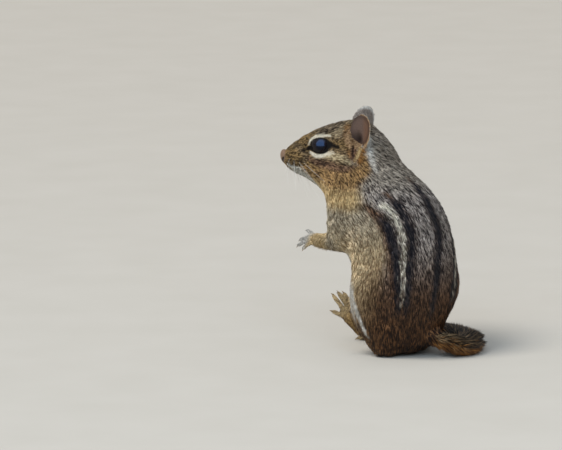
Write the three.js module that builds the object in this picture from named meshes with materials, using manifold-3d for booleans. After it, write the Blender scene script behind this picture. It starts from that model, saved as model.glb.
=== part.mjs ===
// An eastern chipmunk at life size, sitting up on its haunches with a round back. Its head is turned to
// its left, its forepaws reach out in front of the chest, its left hind foot is tipped up on the heel,
// its right one is flat, and the tail lies curled along its right side.
// Millimetres, +Z up. The animal faces -Y and its left side is +X. The origin is on the floor, in the
// flat of the rump that it sits on. Every outline is that of the coat, out to the tips of the hair.

import * as THREE from "three";
import { mergeVertices } from "three/addons/utils/BufferGeometryUtils.js";
import Module from "manifold-3d";

const wasm = await Module();
wasm.setup();

// Driving dimensions
const GAP = 0.3; // between neighbouring pieces
const GROWN = 1.3 * GAP; // of a foot whose room is cut from its neighbour
const CELL = { body: 5.3, head: 3.2, leg: 2.8, arm: 3.1, tail: 3.9 }; // of the surfaces' grids
const HEAD_TURN = THREE.MathUtils.degToRad(35); // to the animal's left
const EYE_LEVEL = new THREE.Vector3(8.0, -38.7, 94.6); // the point of the head's mid plane between the eyes
const EYE = { radius: 4.2, forward: 0.3, out: 7.4, up: -0.2 };
const EAR = { height: 20.5, width: 12.4, thick: 1.3, cup: 2.8, lean: 0.15, splay: 0.14, turn: 0.75 };
const EAR_CENTRE = { forward: { left: -18.4, right: -17.4 }, out: 14.4, up: 5.4 };
const NOSE = { forward: 18.2, up: -6.6, length: 1.5, width: 2.0, height: 2.4 };
const TOE_THICKNESS = 0.195; // radius of a toe at its root, as a share of its foot's thickness
const EAR_TAPER = 0.12; // how much wider the ear's top is than its middle, as a share
const HIND_FOOT = { length: 25.5, width: 8.4, thick: 5.2, toe: 9.5 };
const FORE_PAW = { length: 6.5, width: 6.4, thick: 4.2, toe: 6 };

// Where each foot's heel or wrist is, where its toes point and where its upper side faces
const HIND_PLACES = [
  { heel: [15.7, 2.0, 1.6], toes: [0.221, -0.607, 0.763], back: [0.35, 0.6, 0.65] },
  { heel: [-13.5, -1.0, 2.0], toes: [-0.12, -1, 0], back: [0, 0, 1] },
];
const FORE_PLACES = [
  { heel: [14.2, -35.8, 50], toes: [-0.05, -1, 0], back: [0.6, 0.1, 0.9] },
  { heel: [-14.2, -35.8, 50], toes: [0.05, -1, 0], back: [-0.6, 0.1, 0.9] },
];
const SIDES = ["left", "right"];

// The trunk and neck as balls down the mid plane, from the rump to the nape: [y, z, radius, width share]
const TRUNK = [
  [2.0, 19.9, 20.7, 1.06],
  [3.4, 33.0, 23.7, 1.04],
  [2.8, 45.0, 23.9, 1.02],
  [-1.6, 57.0, 23.6, 1.0],
  [-9.7, 63.5, 21.3, 0.98],
];
const NECK = [
  [-12.4, 65.0, 21.7, 0.95],
  [-18.8, 74.2, 20.1, 0.95],
  [-21.0, 84.0, 17.2, 0.95],
  [-23.2, 91.4, 12.8, 0.95],
];

// The head's outline by stations along it: [forward of the eye, top, bottom, half width]
const HEAD = [
  [-25.0, 4.0, -6.0, 5.0],
  [-20.0, 7.0, -13.0, 10.0],
  [-14.0, 9.2, -18.5, 12.4],
  [-8.0, 9.5, -20.6, 12.8],
  [-3.5, 8.7, -20.8, 11.8],
  [1.0, 7.0, -19.9, 10.6],
  [5.0, 5.2, -18.2, 8.9],
  [9.0, 3.0, -15.7, 7.0],
  [13.0, 0.3, -14.2, 5.3],
  [15.5, -1.6, -12.2, 4.4],
  [17.5, -3.8, -10.4, 3.4],
  [18.7, -5.1, -9.0, 2.2],
  [19.3, -6.2, -7.6, 0.8],
];
const HEAD_SQUARENESS = 2.15; // the power of its rounded section, 2 for an ellipse

// Limbs as balls, for the left side: [x, y, z, radius]
const HIND_LEG = [
  [10.5, 8.5, 31.0, 14.0],
  [15.8, 0.4, 31.0, 11.3],
  [17.6, -2.0, 24.0, 9.0],
  [16.2, 0.2, 14.0, 7.6],
  [14.4, 2.4, 4.5, 5.0],
];
const FORE_LEG = [
  [12.5, -18.5, 62.0, 10.0],
  [16.0, -19.5, 55.6, 7.5],
  [17.0, -21.5, 51.9, 5.2],
  [15.8, -28.5, 50.9, 4.0],
  [14.2, -35.5, 50.0, 3.6],
];
// The tail on the floor, from its root: [x, y, z, half width]
const TAIL = [
  [0.0, 15.0, 13.0, 6.0],
  [-3.0, 23.0, 8.5, 6.8],
  [-12.0, 27.0, 4.6, 7.4],
  [-23.5, 22.5, 4.4, 7.8],
  [-31.0, 10.5, 4.4, 8.0],
  [-33.5, -4.0, 4.4, 7.8],
  [-32.0, -18.0, 4.0, 6.8],
  [-27.5, -29.0, 3.4, 4.4],
  [-24.5, -33.5, 3.0, 1.6],
];
const TAIL_FLATNESS = 0.62; // height over width
const BLEND = { neck: 8, head: 6, hindLeg: 5, foreLeg: 4 }; // how widely each is rounded into the rest

// The regions that the thighs and forelegs are cut out by, for the left side
const THIGH = { centre: [20.5, 1.0, 26], radii: [13.5, 17, 24] };
const ARM = { centre: [17.0, -26.5, 52.0], radii: [10.5, 14, 10] };

// Grids, as their lowest and highest corners
const WHOLE = [[-46, -60, -6], [46, 46, 114]];
const HEAD_BOX = [[-24, -74, 62], [36, -2, 114]];
const LOWER = [[-46, -60, -6], [46, 46, 66]];
const ARMS = [[-32, -50, 34], [32, -4, 74]];
const TAIL_BOX = [[-46, -42, -6], [14, 40, 26]];

// Toes of a foot, from the inner to the outer: [across, start, length, splay, bend to the sole], the
// first three as shares of the foot's own width, length and toe, the last two in radians
const HIND_TOES = [
  [-0.36, 0.9, 0.71, -0.48, 0.1],
  [-0.16, 0.98, 1.06, 0.13, 0.1],
  [0.15, 1.0, 0.97, 0.22, 0.1],
  [0.4, 0.95, 0.95, 0.22, 0.1],
  [0.34, 0.6, 0.46, 0.3, 1.0],
];
const FLAT_TOES = [
  ...HIND_TOES.slice(0, 4).map((row) => [...row.slice(0, 4), 0.14]),
  [0.34, 0.6, 0.8, 0.3, 0.14],
];
const FORE_TOES = [
  [-0.5, 0.5, 0.6, -0.8, 0.3],
  [-0.28, 0.85, 0.97, -0.36, 0.26],
  [0.12, 0.94, 1.05, -0.16, 0.2],
  [0.44, 0.78, 1.3, 0.42, 0.05],
];

// Colours
const looks = {
  coat: { color: 0x7a6248, roughness: 0.9 },
  flank: { color: 0xa8814f, roughness: 0.9 },
  back: { color: 0x5b4a3a, roughness: 0.9 },
  foot: { color: 0xb08d60, roughness: 0.85 },
  ear: { color: 0x6f5546, roughness: 0.8 },
  nose: { color: 0x8a5c4c, roughness: 0.6 },
  eye: { color: 0x0b0807, roughness: 0.08 },
};

// A frame of the head: forward, its own left, and up
const headForward = new THREE.Vector3(Math.sin(HEAD_TURN), -Math.cos(HEAD_TURN), 0);
const headUp = new THREE.Vector3(0, 0, 1);
const headLeft = new THREE.Vector3().crossVectors(headUp, headForward);

function onHead(forward, left, up) {
  return EYE_LEVEL.clone()
    .addScaledVector(headForward, forward)
    .addScaledVector(headLeft, left)
    .addScaledVector(headUp, up);
}

function mirrored(rows) {
  return rows.map(([x, ...rest]) => [-x, ...rest]);
}

// A smooth interpolation of table rows, as many evenly spaced ones as asked for
function refined(rows, count) {
  const width = rows[0].length;
  const curves = [];
  for (let k = 0; k < width; k += 3) {
    const knots = rows.map((r) => new THREE.Vector3(r[k], r[k + 1] ?? 0, r[k + 2] ?? 0));
    curves.push(new THREE.CatmullRomCurve3(knots, false, "catmullrom", 0.5));
  }
  return Array.from({ length: count }, (_, i) =>
    curves.flatMap((c) => c.getPoint(i / (count - 1)).toArray()).slice(0, width),
  );
}

// Fields give a distance in millimetres, below zero inside.
function ballField(rows, count, scale = [1, 1, 1]) {
  const balls = refined(rows, count);
  return (p) => {
    let least = Infinity;
    for (const [x, y, z, r, share = 1] of balls) {
      const dx = (p.x - x) / (scale[0] * share);
      const dy = (p.y - y) / scale[1];
      const dz = (p.z - z) / scale[2];
      least = Math.min(least, Math.hypot(dx, dy, dz) - r);
    }
    return least;
  };
}

// Balls in the mid plane, whose rows have no x
function spineField(rows, count) {
  return ballField(
    rows.map(([y, z, r, share]) => [0, y, z, r, share]),
    count,
  );
}

// The head's section at each station is a rounded box between its top, bottom and sides
const headTable = refined(HEAD, 80);
function headField(p) {
  const d = p.clone().sub(EYE_LEVEL);
  const forward = d.dot(headForward);
  const held = THREE.MathUtils.clamp(forward, headTable[0][0], headTable.at(-1)[0]);
  const i = Math.max(
    headTable.findIndex((row) => row[0] >= held),
    1,
  );
  const share = (held - headTable[i - 1][0]) / (headTable[i][0] - headTable[i - 1][0]);
  const [top, bottom, half] = [1, 2, 3].map((k) =>
    THREE.MathUtils.lerp(headTable[i - 1][k], headTable[i][k], share),
  );
  const tall = (top - bottom) / 2;
  const across = Math.abs(d.dot(headLeft)) / half;
  const above = Math.abs(d.z - (top + bottom) / 2) / tall;
  const n = HEAD_SQUARENESS;
  const out = ((across ** n + above ** n) ** (1 / n) - 1) * Math.min(half, tall);
  return forward === held ? out : Math.hypot(Math.max(out, 0), forward - held);
}

// The lesser of two fields, rounded where they are about equal
function blended(a, b, width) {
  const near = Math.max(width - Math.abs(a - b), 0) / width;
  return Math.min(a, b) - (near * near * width) / 4;
}

const trunkField = spineField(TRUNK, 26);
const neckField = spineField(NECK, 20);
const tailField = ballField(TAIL, 60, [1, 1, TAIL_FLATNESS]);
const hindLegs = [HIND_LEG, mirrored(HIND_LEG)].map((rows) => ballField(rows, 26));
const foreLegs = [FORE_LEG, mirrored(FORE_LEG)].map((rows) => ballField(rows, 26));

function bodyField(p) {
  let d = blended(trunkField(p), neckField(p), BLEND.neck);
  d = blended(d, headField(p), BLEND.head);
  for (const leg of hindLegs) d = blended(d, leg(p), BLEND.hindLeg);
  for (const leg of foreLegs) d = blended(d, leg(p), BLEND.foreLeg);
  return d;
}

// Surface nets: a vertex in each cell that the surface crosses, a quad on each grid edge that it crosses
function netSurface(field, low, high, cell) {
  const counts = [0, 1, 2].map((k) => Math.ceil((high[k] - low[k]) / cell) + 1);
  const [nx, ny, nz] = counts;
  const at = (i, j, k) => (k * ny + j) * nx + i;
  const place = (i, j, k) => new THREE.Vector3(low[0] + i * cell, low[1] + j * cell, low[2] + k * cell);
  const values = new Float64Array(nx * ny * nz);
  for (let k = 0; k < nz; k++)
    for (let j = 0; j < ny; j++)
      for (let i = 0; i < nx; i++) {
        const rim = !i || !j || !k || i === nx - 1 || j === ny - 1 || k === nz - 1;
        values[at(i, j, k)] = rim ? cell : field(place(i, j, k)) || 1e-9;
      }
  const corners = [0, 1].flatMap((a) => [0, 1].flatMap((b) => [0, 1].map((c) => [a, b, c])));
  const STEPS = 3; // of each vertex onto the surface
  const NUDGE = 0.01; // for measuring the field's slope
  const RIM = 0.04; // of each cell that its vertex stays out of, so that no two meet
  const vertexOf = new Map();
  const positions = [];
  for (let k = 0; k < nz - 1; k++)
    for (let j = 0; j < ny - 1; j++)
      for (let i = 0; i < nx - 1; i++) {
        const v = cellVertex(i, j, k);
        if (!v) continue;
        for (let step = 0; step < STEPS; step++) settle(v);
        v.clamp(place(i + RIM, j + RIM, k + RIM), place(i + 1 - RIM, j + 1 - RIM, k + 1 - RIM));
        vertexOf.set(at(i, j, k), positions.length / 3);
        positions.push(...v.toArray());
      }

  // One step of a vertex along the field's slope, onto the surface
  function settle(v) {
    const value = field(v);
    if (Math.abs(value) > cell / 2) return;
    const slope = new THREE.Vector3();
    for (const axis of ["x", "y", "z"]) {
      const moved = v.clone();
      moved[axis] += NUDGE;
      slope[axis] = (field(moved) - value) / NUDGE;
    }
    v.addScaledVector(slope, -value / Math.max(slope.lengthSq(), 0.2));
  }

  function cellVertex(i, j, k) {
    const sum = new THREE.Vector3();
    let crossed = 0;
    for (const [a, b, c] of corners)
      for (const [p, q, r] of [[1, b, c], [a, 1, c], [a, b, 1]]) {
        if (p + q + r !== a + b + c + 1) continue;
        const from = values[at(i + a, j + b, k + c)];
        const to = values[at(i + p, j + q, k + r)];
        if (from < 0 === to < 0) continue;
        const there = place(i + p, j + q, k + r);
        sum.add(place(i + a, j + b, k + c).lerp(there, from / (from - to)));
        crossed++;
      }
    return crossed ? sum.divideScalar(crossed) : null;
  }

  const index = [];
  for (let k = 0; k < nz - 1; k++)
    for (let j = 0; j < ny - 1; j++)
      for (let i = 0; i < nx - 1; i++) {
        const inside = values[at(i, j, k)] < 0;
        const around = [
          [[1, 0, 0], [[0, 0, 0], [0, -1, 0], [0, -1, -1], [0, 0, -1]]],
          [[0, 1, 0], [[0, 0, 0], [0, 0, -1], [-1, 0, -1], [-1, 0, 0]]],
          [[0, 0, 1], [[0, 0, 0], [-1, 0, 0], [-1, -1, 0], [0, -1, 0]]],
        ];
        for (const [[a, b, c], cells] of around) {
          if (values[at(i + a, j + b, k + c)] < 0 === inside) continue;
          const quad = cells.map(([x, y, z]) => vertexOf.get(at(i + x, j + y, k + z)));
          if (!inside) quad.reverse();
          index.push(quad[0], quad[1], quad[2], quad[0], quad[2], quad[3]);
        }
      }
  const geometry = new THREE.BufferGeometry();
  geometry.setAttribute("position", new THREE.Float32BufferAttribute(positions, 3));
  return geometry.setIndex(index);
}

// A surface turned inside out, which sets right one that a mirroring has reversed
function flipped(geometry) {
  const index = geometry.index.array;
  for (let i = 0; i < index.length; i += 3) [index[i + 1], index[i + 2]] = [index[i + 2], index[i + 1]];
  return geometry;
}

// A closed surface as a solid
function solid(geometry) {
  const bare = geometry.clone();
  for (const name of ["normal", "uv"]) bare.deleteAttribute(name);
  const merged = mergeVertices(bare, 1e-4);
  const triVerts = new Uint32Array(merged.index.array);
  const vertProperties = new Float32Array(merged.attributes.position.array);
  return new wasm.Manifold(new wasm.Mesh({ numProp: 3, vertProperties, triVerts }));
}

function all(solids) {
  return solids.reduce((a, b) => a.add(b));
}

// The largest body of a solid, without the crumbs that a cut leaves
function largest(made) {
  return made.decompose().sort((a, b) => b.volume() - a.volume())[0];
}

// All that lies on the side of a plane that its normal points to, moved that way by shift
function halfSpace(point, normal, shift = 0) {
  const size = 400;
  const box = new THREE.BoxGeometry(size, size, size);
  const turn = new THREE.Quaternion().setFromUnitVectors(new THREE.Vector3(0, 0, 1), normal);
  box.translate(0, 0, size / 2 + shift).applyQuaternion(turn);
  return solid(box.translate(point.x, point.y, point.z));
}

// An ellipsoid, whose second radius lies along a direction where one is given
function ellipsoid(centre, radii, grow = 0, along = null, segments = 14) {
  const ball = new THREE.SphereGeometry(1, segments, Math.round(segments * 0.6));
  ball.scale(...radii.map((r) => r + grow));
  if (along)
    ball.applyQuaternion(new THREE.Quaternion().setFromUnitVectors(new THREE.Vector3(0, 1, 0), along));
  return solid(ball.translate(...centre));
}

// A closed tube of rings round a path: rows of [x, y, z, radius], flattened along z by the share
function tube(rows, sides, count, flat = 1) {
  const rings = refined(rows, count);
  const centres = rings.map(([x, y, z]) => new THREE.Vector3(x, y, z));
  const up = new THREE.Vector3(0, 0, 1);
  const positions = [];
  rings.forEach(([, , , radius], i) => {
    const ahead = centres[Math.min(i + 1, count - 1)];
    const along = ahead.clone().sub(centres[Math.max(i - 1, 0)]).normalize();
    const across = new THREE.Vector3().crossVectors(along, up).normalize();
    const over = new THREE.Vector3().crossVectors(across, along);
    for (let s = 0; s < sides; s++) {
      const angle = (2 * Math.PI * s) / sides;
      const point = centres[i].clone().addScaledVector(across, radius * Math.cos(angle));
      positions.push(...point.addScaledVector(over, radius * flat * Math.sin(angle)).toArray());
    }
  });
  positions.push(...centres[0].toArray(), ...centres[count - 1].toArray());
  const index = [];
  for (let s = 0; s < sides; s++) {
    const next = (s + 1) % sides;
    for (let i = 0; i < count - 1; i++) {
      const [a, b, c, d] = [i * sides + s, i * sides + next, (i + 1) * sides + next, (i + 1) * sides + s];
      index.push(a, c, b, a, d, c);
    }
    index.push(count * sides, s, next);
    index.push(count * sides + 1, (count - 1) * sides + next, (count - 1) * sides + s);
  }
  const geometry = new THREE.BufferGeometry();
  geometry.setAttribute("position", new THREE.Float32BufferAttribute(positions, 3));
  return geometry.setIndex(index);
}

// A foot in its own frame, heel at the origin, toes towards +y, back of the foot towards +z, little toe
// towards +x.
function footRows({ length, width, thick, toe }, toes, grow) {
  const flat = thick / width;
  const sole = [
    [0, -0.3 * thick, 0, 0.18 * width + grow],
    [0, 0.12 * length, 0, 0.27 * width + grow],
    [0, 0.5 * length, 0, 0.35 * width + grow],
    [0, 0.85 * length, 0, 0.5 * width + grow],
    [0, 1.05 * length, 0, 0.36 * width + grow],
  ];
  const thin = TOE_THICKNESS * thick;
  const rows = toes.map(([across, start, share, splay, bend]) => {
    const [x, y, long] = [across * width, start * length, share * toe];
    return [-0.2, 0.35, 0.8, 1].map((t) => {
      const knuckle = 0.1 * thick * Math.max(0, 1 - 2 * Math.abs(t - 0.35));
      const drop = Math.tan(bend) * long * t * (0.5 + 0.5 * Math.abs(t)) - knuckle;
      const radius = thin * (t > 0.8 ? 0.33 : 1 - 0.12 * t);
      return [x + long * t * Math.sin(splay), y + long * t * Math.cos(splay), -drop, radius + grow];
    });
  });
  return { sole, rows, flat };
}

function foot(size, toes, placing, grow = 0) {
  const { sole, rows, flat } = footRows(size, toes, grow);
  const tubes = [tube(sole, 8, 5, flat), ...rows.map((row) => tube(row, 5, 4))];
  const turned = placing.determinant() < 0 ? flipped : (geometry) => geometry;
  return all(tubes.map((geometry) => solid(turned(geometry.applyMatrix4(placing)))));
}

// The matrix that puts a foot in its place, mirrored on the right side
function placed({ heel, toes, back }, side) {
  const y = new THREE.Vector3(...toes).normalize();
  const upper = new THREE.Vector3(...back);
  const z = upper.addScaledVector(y, -upper.dot(y)).normalize();
  const x = new THREE.Vector3().crossVectors(y, z).multiplyScalar(side);
  return new THREE.Matrix4().makeBasis(x, y, z).setPosition(...heel);
}

// An ear: a flattened ball, cupped, with its hollow side forward and out
function ear(side, grow = 0) {
  const ball = new THREE.SphereGeometry(1, 12, 10);
  const place = ball.attributes.position;
  const outward = headLeft.clone().multiplyScalar(side);
  const normal = headForward.clone().multiplyScalar(Math.sin(EAR.turn));
  normal.addScaledVector(outward, Math.cos(EAR.turn));
  const across = headForward.clone().multiplyScalar(-Math.cos(EAR.turn));
  across.addScaledVector(outward, Math.sin(EAR.turn));
  const up = headUp.clone().addScaledVector(headForward, -EAR.lean).addScaledVector(outward, EAR.splay);
  up.normalize();
  normal.addScaledVector(up, -normal.dot(up)).normalize();
  across.addScaledVector(up, -across.dot(up)).addScaledVector(normal, -across.dot(normal)).normalize();
  const forward = side > 0 ? EAR_CENTRE.forward.left : EAR_CENTRE.forward.right;
  const centre = onHead(forward, EAR_CENTRE.out * side, EAR_CENTRE.up);
  for (let i = 0; i < place.count; i++) {
    const [x, y, z] = [place.getX(i), place.getY(i), place.getZ(i)];
    const [halfWidth, halfHeight] = [EAR.width / 2, EAR.height / 2];
    const tall = y * (halfHeight + grow);
    const wide = x * (halfWidth * (1 + (EAR_TAPER * tall) / halfHeight) + grow);
    const bowl = EAR.cup * ((wide / halfWidth) ** 2 + 0.25 * (tall / halfHeight) ** 2 - 0.5);
    const p = centre.clone().addScaledVector(across, wide).addScaledVector(up, tall);
    p.addScaledVector(normal, bowl + (EAR.thick / 2 + 1.6 * grow) * z);
    place.setXYZ(i, ...p.toArray());
  }
  return solid(side > 0 ? ball : flipped(ball));
}

// A cut between two lengths of the body: a point of its plane, and the way that the plane faces
function cut(point, normal) {
  return { point: new THREE.Vector3(...point), normal: new THREE.Vector3(...normal).normalize() };
}
const NAPE_TILT = 0.845; // of the cut behind the ears, up over forward
const HEAD_CUT = cut(
  onHead(-12.0, 0, -7.25).toArray(),
  headForward.clone().addScaledVector(headUp, NAPE_TILT).toArray(),
);
const NECK_CUT = cut([0, -20, 73], [0, -0.26, 0.966]);
const TAIL_CUTS = [cut([-29, 15, 4], [-0.5, -0.85, 0]), cut([-33.3, -10, 4], [0.1, -1, 0])];

const above = ({ point, normal }) => halfSpace(point, normal, GAP / 2);
const below = ({ point, normal }) => halfSpace(point, normal.clone().negate(), GAP / 2);
const floor = halfSpace(new THREE.Vector3(), new THREE.Vector3(0, 0, 1));
const twoSides = (make) => [make(1), make(-1)];

// The region of a thigh or foreleg, on one side
function region({ centre: [x, y, z], radii }, side, grow = 0) {
  return ellipsoid([x * side, y, z], radii, grow);
}

function eye(side, grow = 0) {
  const centre = onHead(EYE.forward, EYE.out * side, EYE.up).toArray();
  return ellipsoid(centre, [EYE.radius, EYE.radius, EYE.radius], grow);
}

function nose(grow = 0) {
  const centre = onHead(NOSE.forward, 0, NOSE.up).toArray();
  return ellipsoid(centre, [NOSE.width, NOSE.length, NOSE.height], grow, headForward, 10);
}

function hindFeet(grow = 0) {
  const places = HIND_PLACES.map((place, i) => placed(place, 1 - 2 * i));
  return [HIND_TOES, FLAT_TOES].map((toes, i) => foot(HIND_FOOT, toes, places[i], grow));
}

function forePaws() {
  return FORE_PLACES.map((place, i) => foot(FORE_PAW, FORE_TOES, placed(place, 1 - 2 * i)));
}

// The body's surface inside a box, moved out by grow
function body(box, cell, grow = 0) {
  return solid(netSurface((p) => bodyField(p) - grow, ...box, cell));
}

// Each node's solid and look, by name
const nodes = {};

// The head, with its eyes, ears and nose
const earHoles = all(twoSides((side) => ear(side, GAP)));
const headHoles = all([...twoSides((side) => eye(side, GAP)), earHoles, nose(GAP)]);
nodes.head = [body(HEAD_BOX, CELL.head).intersect(above(HEAD_CUT)).subtract(headHoles), "coat"];
nodes.nose = [nose(), "nose"];
twoSides(eye).forEach((made, i) => {
  nodes["eye_" + SIDES[i]] = [made, "eye"];
});
twoSides(ear).forEach((made, i) => {
  nodes["ear_" + SIDES[i]] = [made, "ear"];
});

// The neck, trunk and legs
const wholeBody = body(WHOLE, CELL.body);
nodes.neck = [wholeBody.intersect(below(HEAD_CUT)).intersect(above(NECK_CUT)).subtract(earHoles), "back"];
const torso = wholeBody.intersect(below(NECK_CUT)).intersect(floor);
const thighRooms = twoSides((side) => region(THIGH, side, GAP));
const armRooms = twoSides((side) => region(ARM, side, GAP));
nodes.trunk = [torso.subtract(all([...thighRooms, ...armRooms])), "back"];
const foreBody = body(ARMS, CELL.arm);
twoSides((side) => region(THIGH, side)).forEach((space, i) => {
  nodes["thigh_" + SIDES[i]] = [torso.intersect(space).subtract(armRooms[i]), "flank"];
});
twoSides((side) => region(ARM, side)).forEach((space, i) => {
  nodes["foreleg_" + SIDES[i]] = [foreBody.intersect(space), "flank"];
});

// What meets the body from outside is cut back from it: the feet at the legs, the tail at the rump
const legsGrown = body(LOWER, CELL.leg, 2 * GROWN);
const armsGrown = body(ARMS, CELL.arm, 1.25 * GROWN);
hindFeet().forEach((made, i) => {
  nodes["hind_foot_" + SIDES[i]] = [made.intersect(floor).subtract(legsGrown), "foot"];
});
forePaws().forEach((made, i) => {
  nodes["forepaw_" + SIDES[i]] = [made.subtract(armsGrown), "foot"];
});
const tailWhole = solid(netSurface(tailField, ...TAIL_BOX, CELL.tail));
const tail = tailWhole.intersect(floor).subtract(legsGrown).subtract(all(hindFeet(GROWN)));
nodes.tail_base = [tail.intersect(below(TAIL_CUTS[0])), "back"];
nodes.tail_middle = [tail.intersect(above(TAIL_CUTS[0])).intersect(below(TAIL_CUTS[1])), "back"];
nodes.tail_tip = [tail.intersect(above(TAIL_CUTS[1])), "back"];

const chipmunk = new THREE.Group();
for (const [name, [made, look]] of Object.entries(nodes)) {
  const { vertProperties, triVerts } = largest(made).getMesh();
  const geometry = new THREE.BufferGeometry();
  geometry.setAttribute("position", new THREE.BufferAttribute(vertProperties, 3));
  geometry.setIndex(new THREE.BufferAttribute(triVerts, 1));
  geometry.computeVertexNormals();
  const material = new THREE.MeshStandardMaterial({ name: look, metalness: 0, ...looks[look] });
  const mesh = new THREE.Mesh(geometry, material);
  mesh.name = name;
  chipmunk.add(mesh);
}

export default chipmunk;
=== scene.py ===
"""The looks of a sitting eastern chipmunk: skin, coat, eyes, nose, claws and whiskers on its packed frame."""

import math
from heapq import heappop, heappush

import bmesh
import bpy
import numpy as np
from bpy.props import FloatProperty, FloatVectorProperty, IntProperty, PointerProperty
from mathutils import Matrix, Vector
from mathutils.bvhtree import BVHTree


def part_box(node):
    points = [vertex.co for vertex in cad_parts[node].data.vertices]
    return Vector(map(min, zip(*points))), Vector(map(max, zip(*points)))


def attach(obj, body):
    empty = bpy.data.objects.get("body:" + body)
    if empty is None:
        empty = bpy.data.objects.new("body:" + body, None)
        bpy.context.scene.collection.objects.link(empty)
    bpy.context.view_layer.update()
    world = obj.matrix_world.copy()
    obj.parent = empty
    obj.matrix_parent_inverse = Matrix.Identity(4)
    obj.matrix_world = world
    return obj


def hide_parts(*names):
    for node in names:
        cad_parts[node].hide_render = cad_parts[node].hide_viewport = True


bl_info = {
    "name": "Sitting chipmunk",
    "version": (1, 0, 0),
    "blender": (4, 5, 0),
    "location": "View3D > Sidebar > Chipmunk",
    "description": "Makes the skin, coat, eyes and whiskers of a life-size chipmunk on its packed frame",
    "category": "Object",
}

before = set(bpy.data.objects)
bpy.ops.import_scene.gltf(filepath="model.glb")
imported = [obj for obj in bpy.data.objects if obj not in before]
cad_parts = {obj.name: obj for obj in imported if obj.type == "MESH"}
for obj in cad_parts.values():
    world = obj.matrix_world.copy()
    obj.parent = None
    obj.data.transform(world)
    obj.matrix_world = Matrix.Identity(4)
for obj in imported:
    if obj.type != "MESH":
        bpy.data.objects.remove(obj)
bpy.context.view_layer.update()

# Lengths below are in millimetres, in the frame's own axes, unless a name says otherwise
MM = 0.001
FLESH = sorted(set(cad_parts) - {"eye_left", "eye_right", "nose"})


def linear(code):
    """The linear colour of an sRGB hex value."""
    shares = [int(code[i : i + 2], 16) / 255 for i in (0, 2, 4)]
    return [c / 12.92 if c <= 0.04045 else ((c + 0.055) / 1.055) ** 2.4 for c in shares]


# Each look of the coat: pale hairs, dark hairs, share of dark hairs
LOOKS = {
    "flank": ("efd9b0", "8a6e4e", 0.4),
    "grizzle": ("d6ccc4", "362e2f", 0.52),
    "shoulder": ("cec0a8", "5f5240", 0.44),
    "nape": ("c9beae", "423a35", 0.47),
    # Rusty brown of the rump; its dark hairs are made darker as painted shade low on the body
    "rump": ("966a44", "291a13", 0.61),
    "belly": ("f7f5f0", "c2bfb8", 0.3),
    "chest": ("e4dbc2", "9a8a68", 0.35),
    # The black stripes: the blue in their dark hairs is painted sky light, the rest is their own colour
    "black_stripe": ("5b5658", "151924", 0.66),
    "stripe_edge": ("946c4e", "2f1e17", 0.55),
    "white_stripe": ("fffaea", "7d715f", 0.34),
    "crown": ("b09b7e", "2f251e", 0.6),
    "muzzle": ("bb9a68", "32261a", 0.52),
    "cheek": ("c6a06c", "4a3524", 0.46),
    "throat": ("e0c593", "8f7044", 0.36),
    "chin": ("dcd8cb", "837e70", 0.36),
    "eye_ring": ("f6eedc", "c9b998", 0.25),
    "cheek_pale": ("dccba6", "857050", 0.35),
    "eye_streak": ("2c2018", "0c0908", 0.7),
    "cheek_stripe": ("9a7660", "38261f", 0.55),
    "ear_hair": ("b0a49a", "5e544e", 0.4),
    "ear_orange": ("b0804a", "563a1f", 0.4),
    "ear_rim": ("c9a983", "7d5c3c", 0.4),
    "ear_white": ("f2f0ea", "a9a59c", 0.3),
    "foot": ("b8955f", "54391f", 0.48),
    "wrist": ("d9c196", "927a50", 0.35),
    "toe": ("c7ae84", "6a5a40", 0.4),
    "finger": ("d2cfc8", "7d7972", 0.35),
    "tail": ("a08664", "1e1712", 0.62),
    "tail_under": ("b98146", "44290f", 0.45),
}


def look_properties():
    """The pale colour, dark colour and dark share of every look, as properties."""
    made = {}
    for name, (pale, dark, share) in LOOKS.items():
        for kind, code in (("pale", pale), ("dark", dark)):
            made[f"{name}_{kind}"] = FloatVectorProperty(
                name=f"{name} {kind}".replace("_", " ").capitalize(),
                description=f"Colour of the {kind} hairs of the {name.replace('_', ' ')}",
                subtype="COLOR", size=3, min=0, max=1, default=linear(code),
            )
        made[f"{name}_share"] = FloatProperty(
            name=f"{name} dark share".replace("_", " ").capitalize(),
            description=f"Share of the hairs of the {name.replace('_', ' ')} that are dark",
            subtype="FACTOR", min=0, max=1, default=share,
        )
    return made


class ChipmunkColours(bpy.types.PropertyGroup):
    """The colours of the coat"""

    __annotations__ = look_properties()


class ChipmunkSkin(bpy.types.PropertyGroup):
    """The skin's fineness"""

    voxel: FloatProperty(
        name="Voxel", description="Grid on which the flesh is joined into one skin",
        unit="LENGTH", precision=5, default=0.67 * MM,
    )
    join: FloatProperty(
        name="Join", description="How far each solid grows so that its neighbours meet",
        unit="LENGTH", precision=5, default=0.24 * MM,
    )


class ChipmunkCoat(bpy.types.PropertyGroup):
    """The tufts of the coat"""

    density: FloatProperty(
        name="Density", description="Tufts to a square millimetre where the coat is fullest",
        default=12.5, min=0.1,
    )
    spread: FloatProperty(
        name="Spread", description="How far a tuft may turn from the lie of the coat",
        subtype="FACTOR", default=0.1, min=0, max=1,
    )
    locks: FloatProperty(
        name="Locks", description="Locks of tufts to a square millimetre", default=4.2, min=0.01,
    )
    pull: FloatProperty(
        name="Pull", description="How far the tips of a lock's tufts draw together",
        subtype="FACTOR", default=0.6, min=0, max=1,
    )
    seed: IntProperty(name="Seed", description="Seed of everything random in the coat", default=11)


class ChipmunkEyes(bpy.types.PropertyGroup):
    """The opening between the lids"""

    opening_width: FloatProperty(
        name="Opening width", description="Width of the opening between the lids",
        unit="LENGTH", precision=5, default=8.0 * MM,
    )
    opening_height: FloatProperty(
        name="Opening height", description="Height of the opening between the lids",
        unit="LENGTH", precision=5, default=6.1 * MM,
    )
    lid: FloatProperty(
        name="Lid", description="Thickness of the lids over the ball",
        unit="LENGTH", precision=5, default=0.42 * MM,
    )


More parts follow.
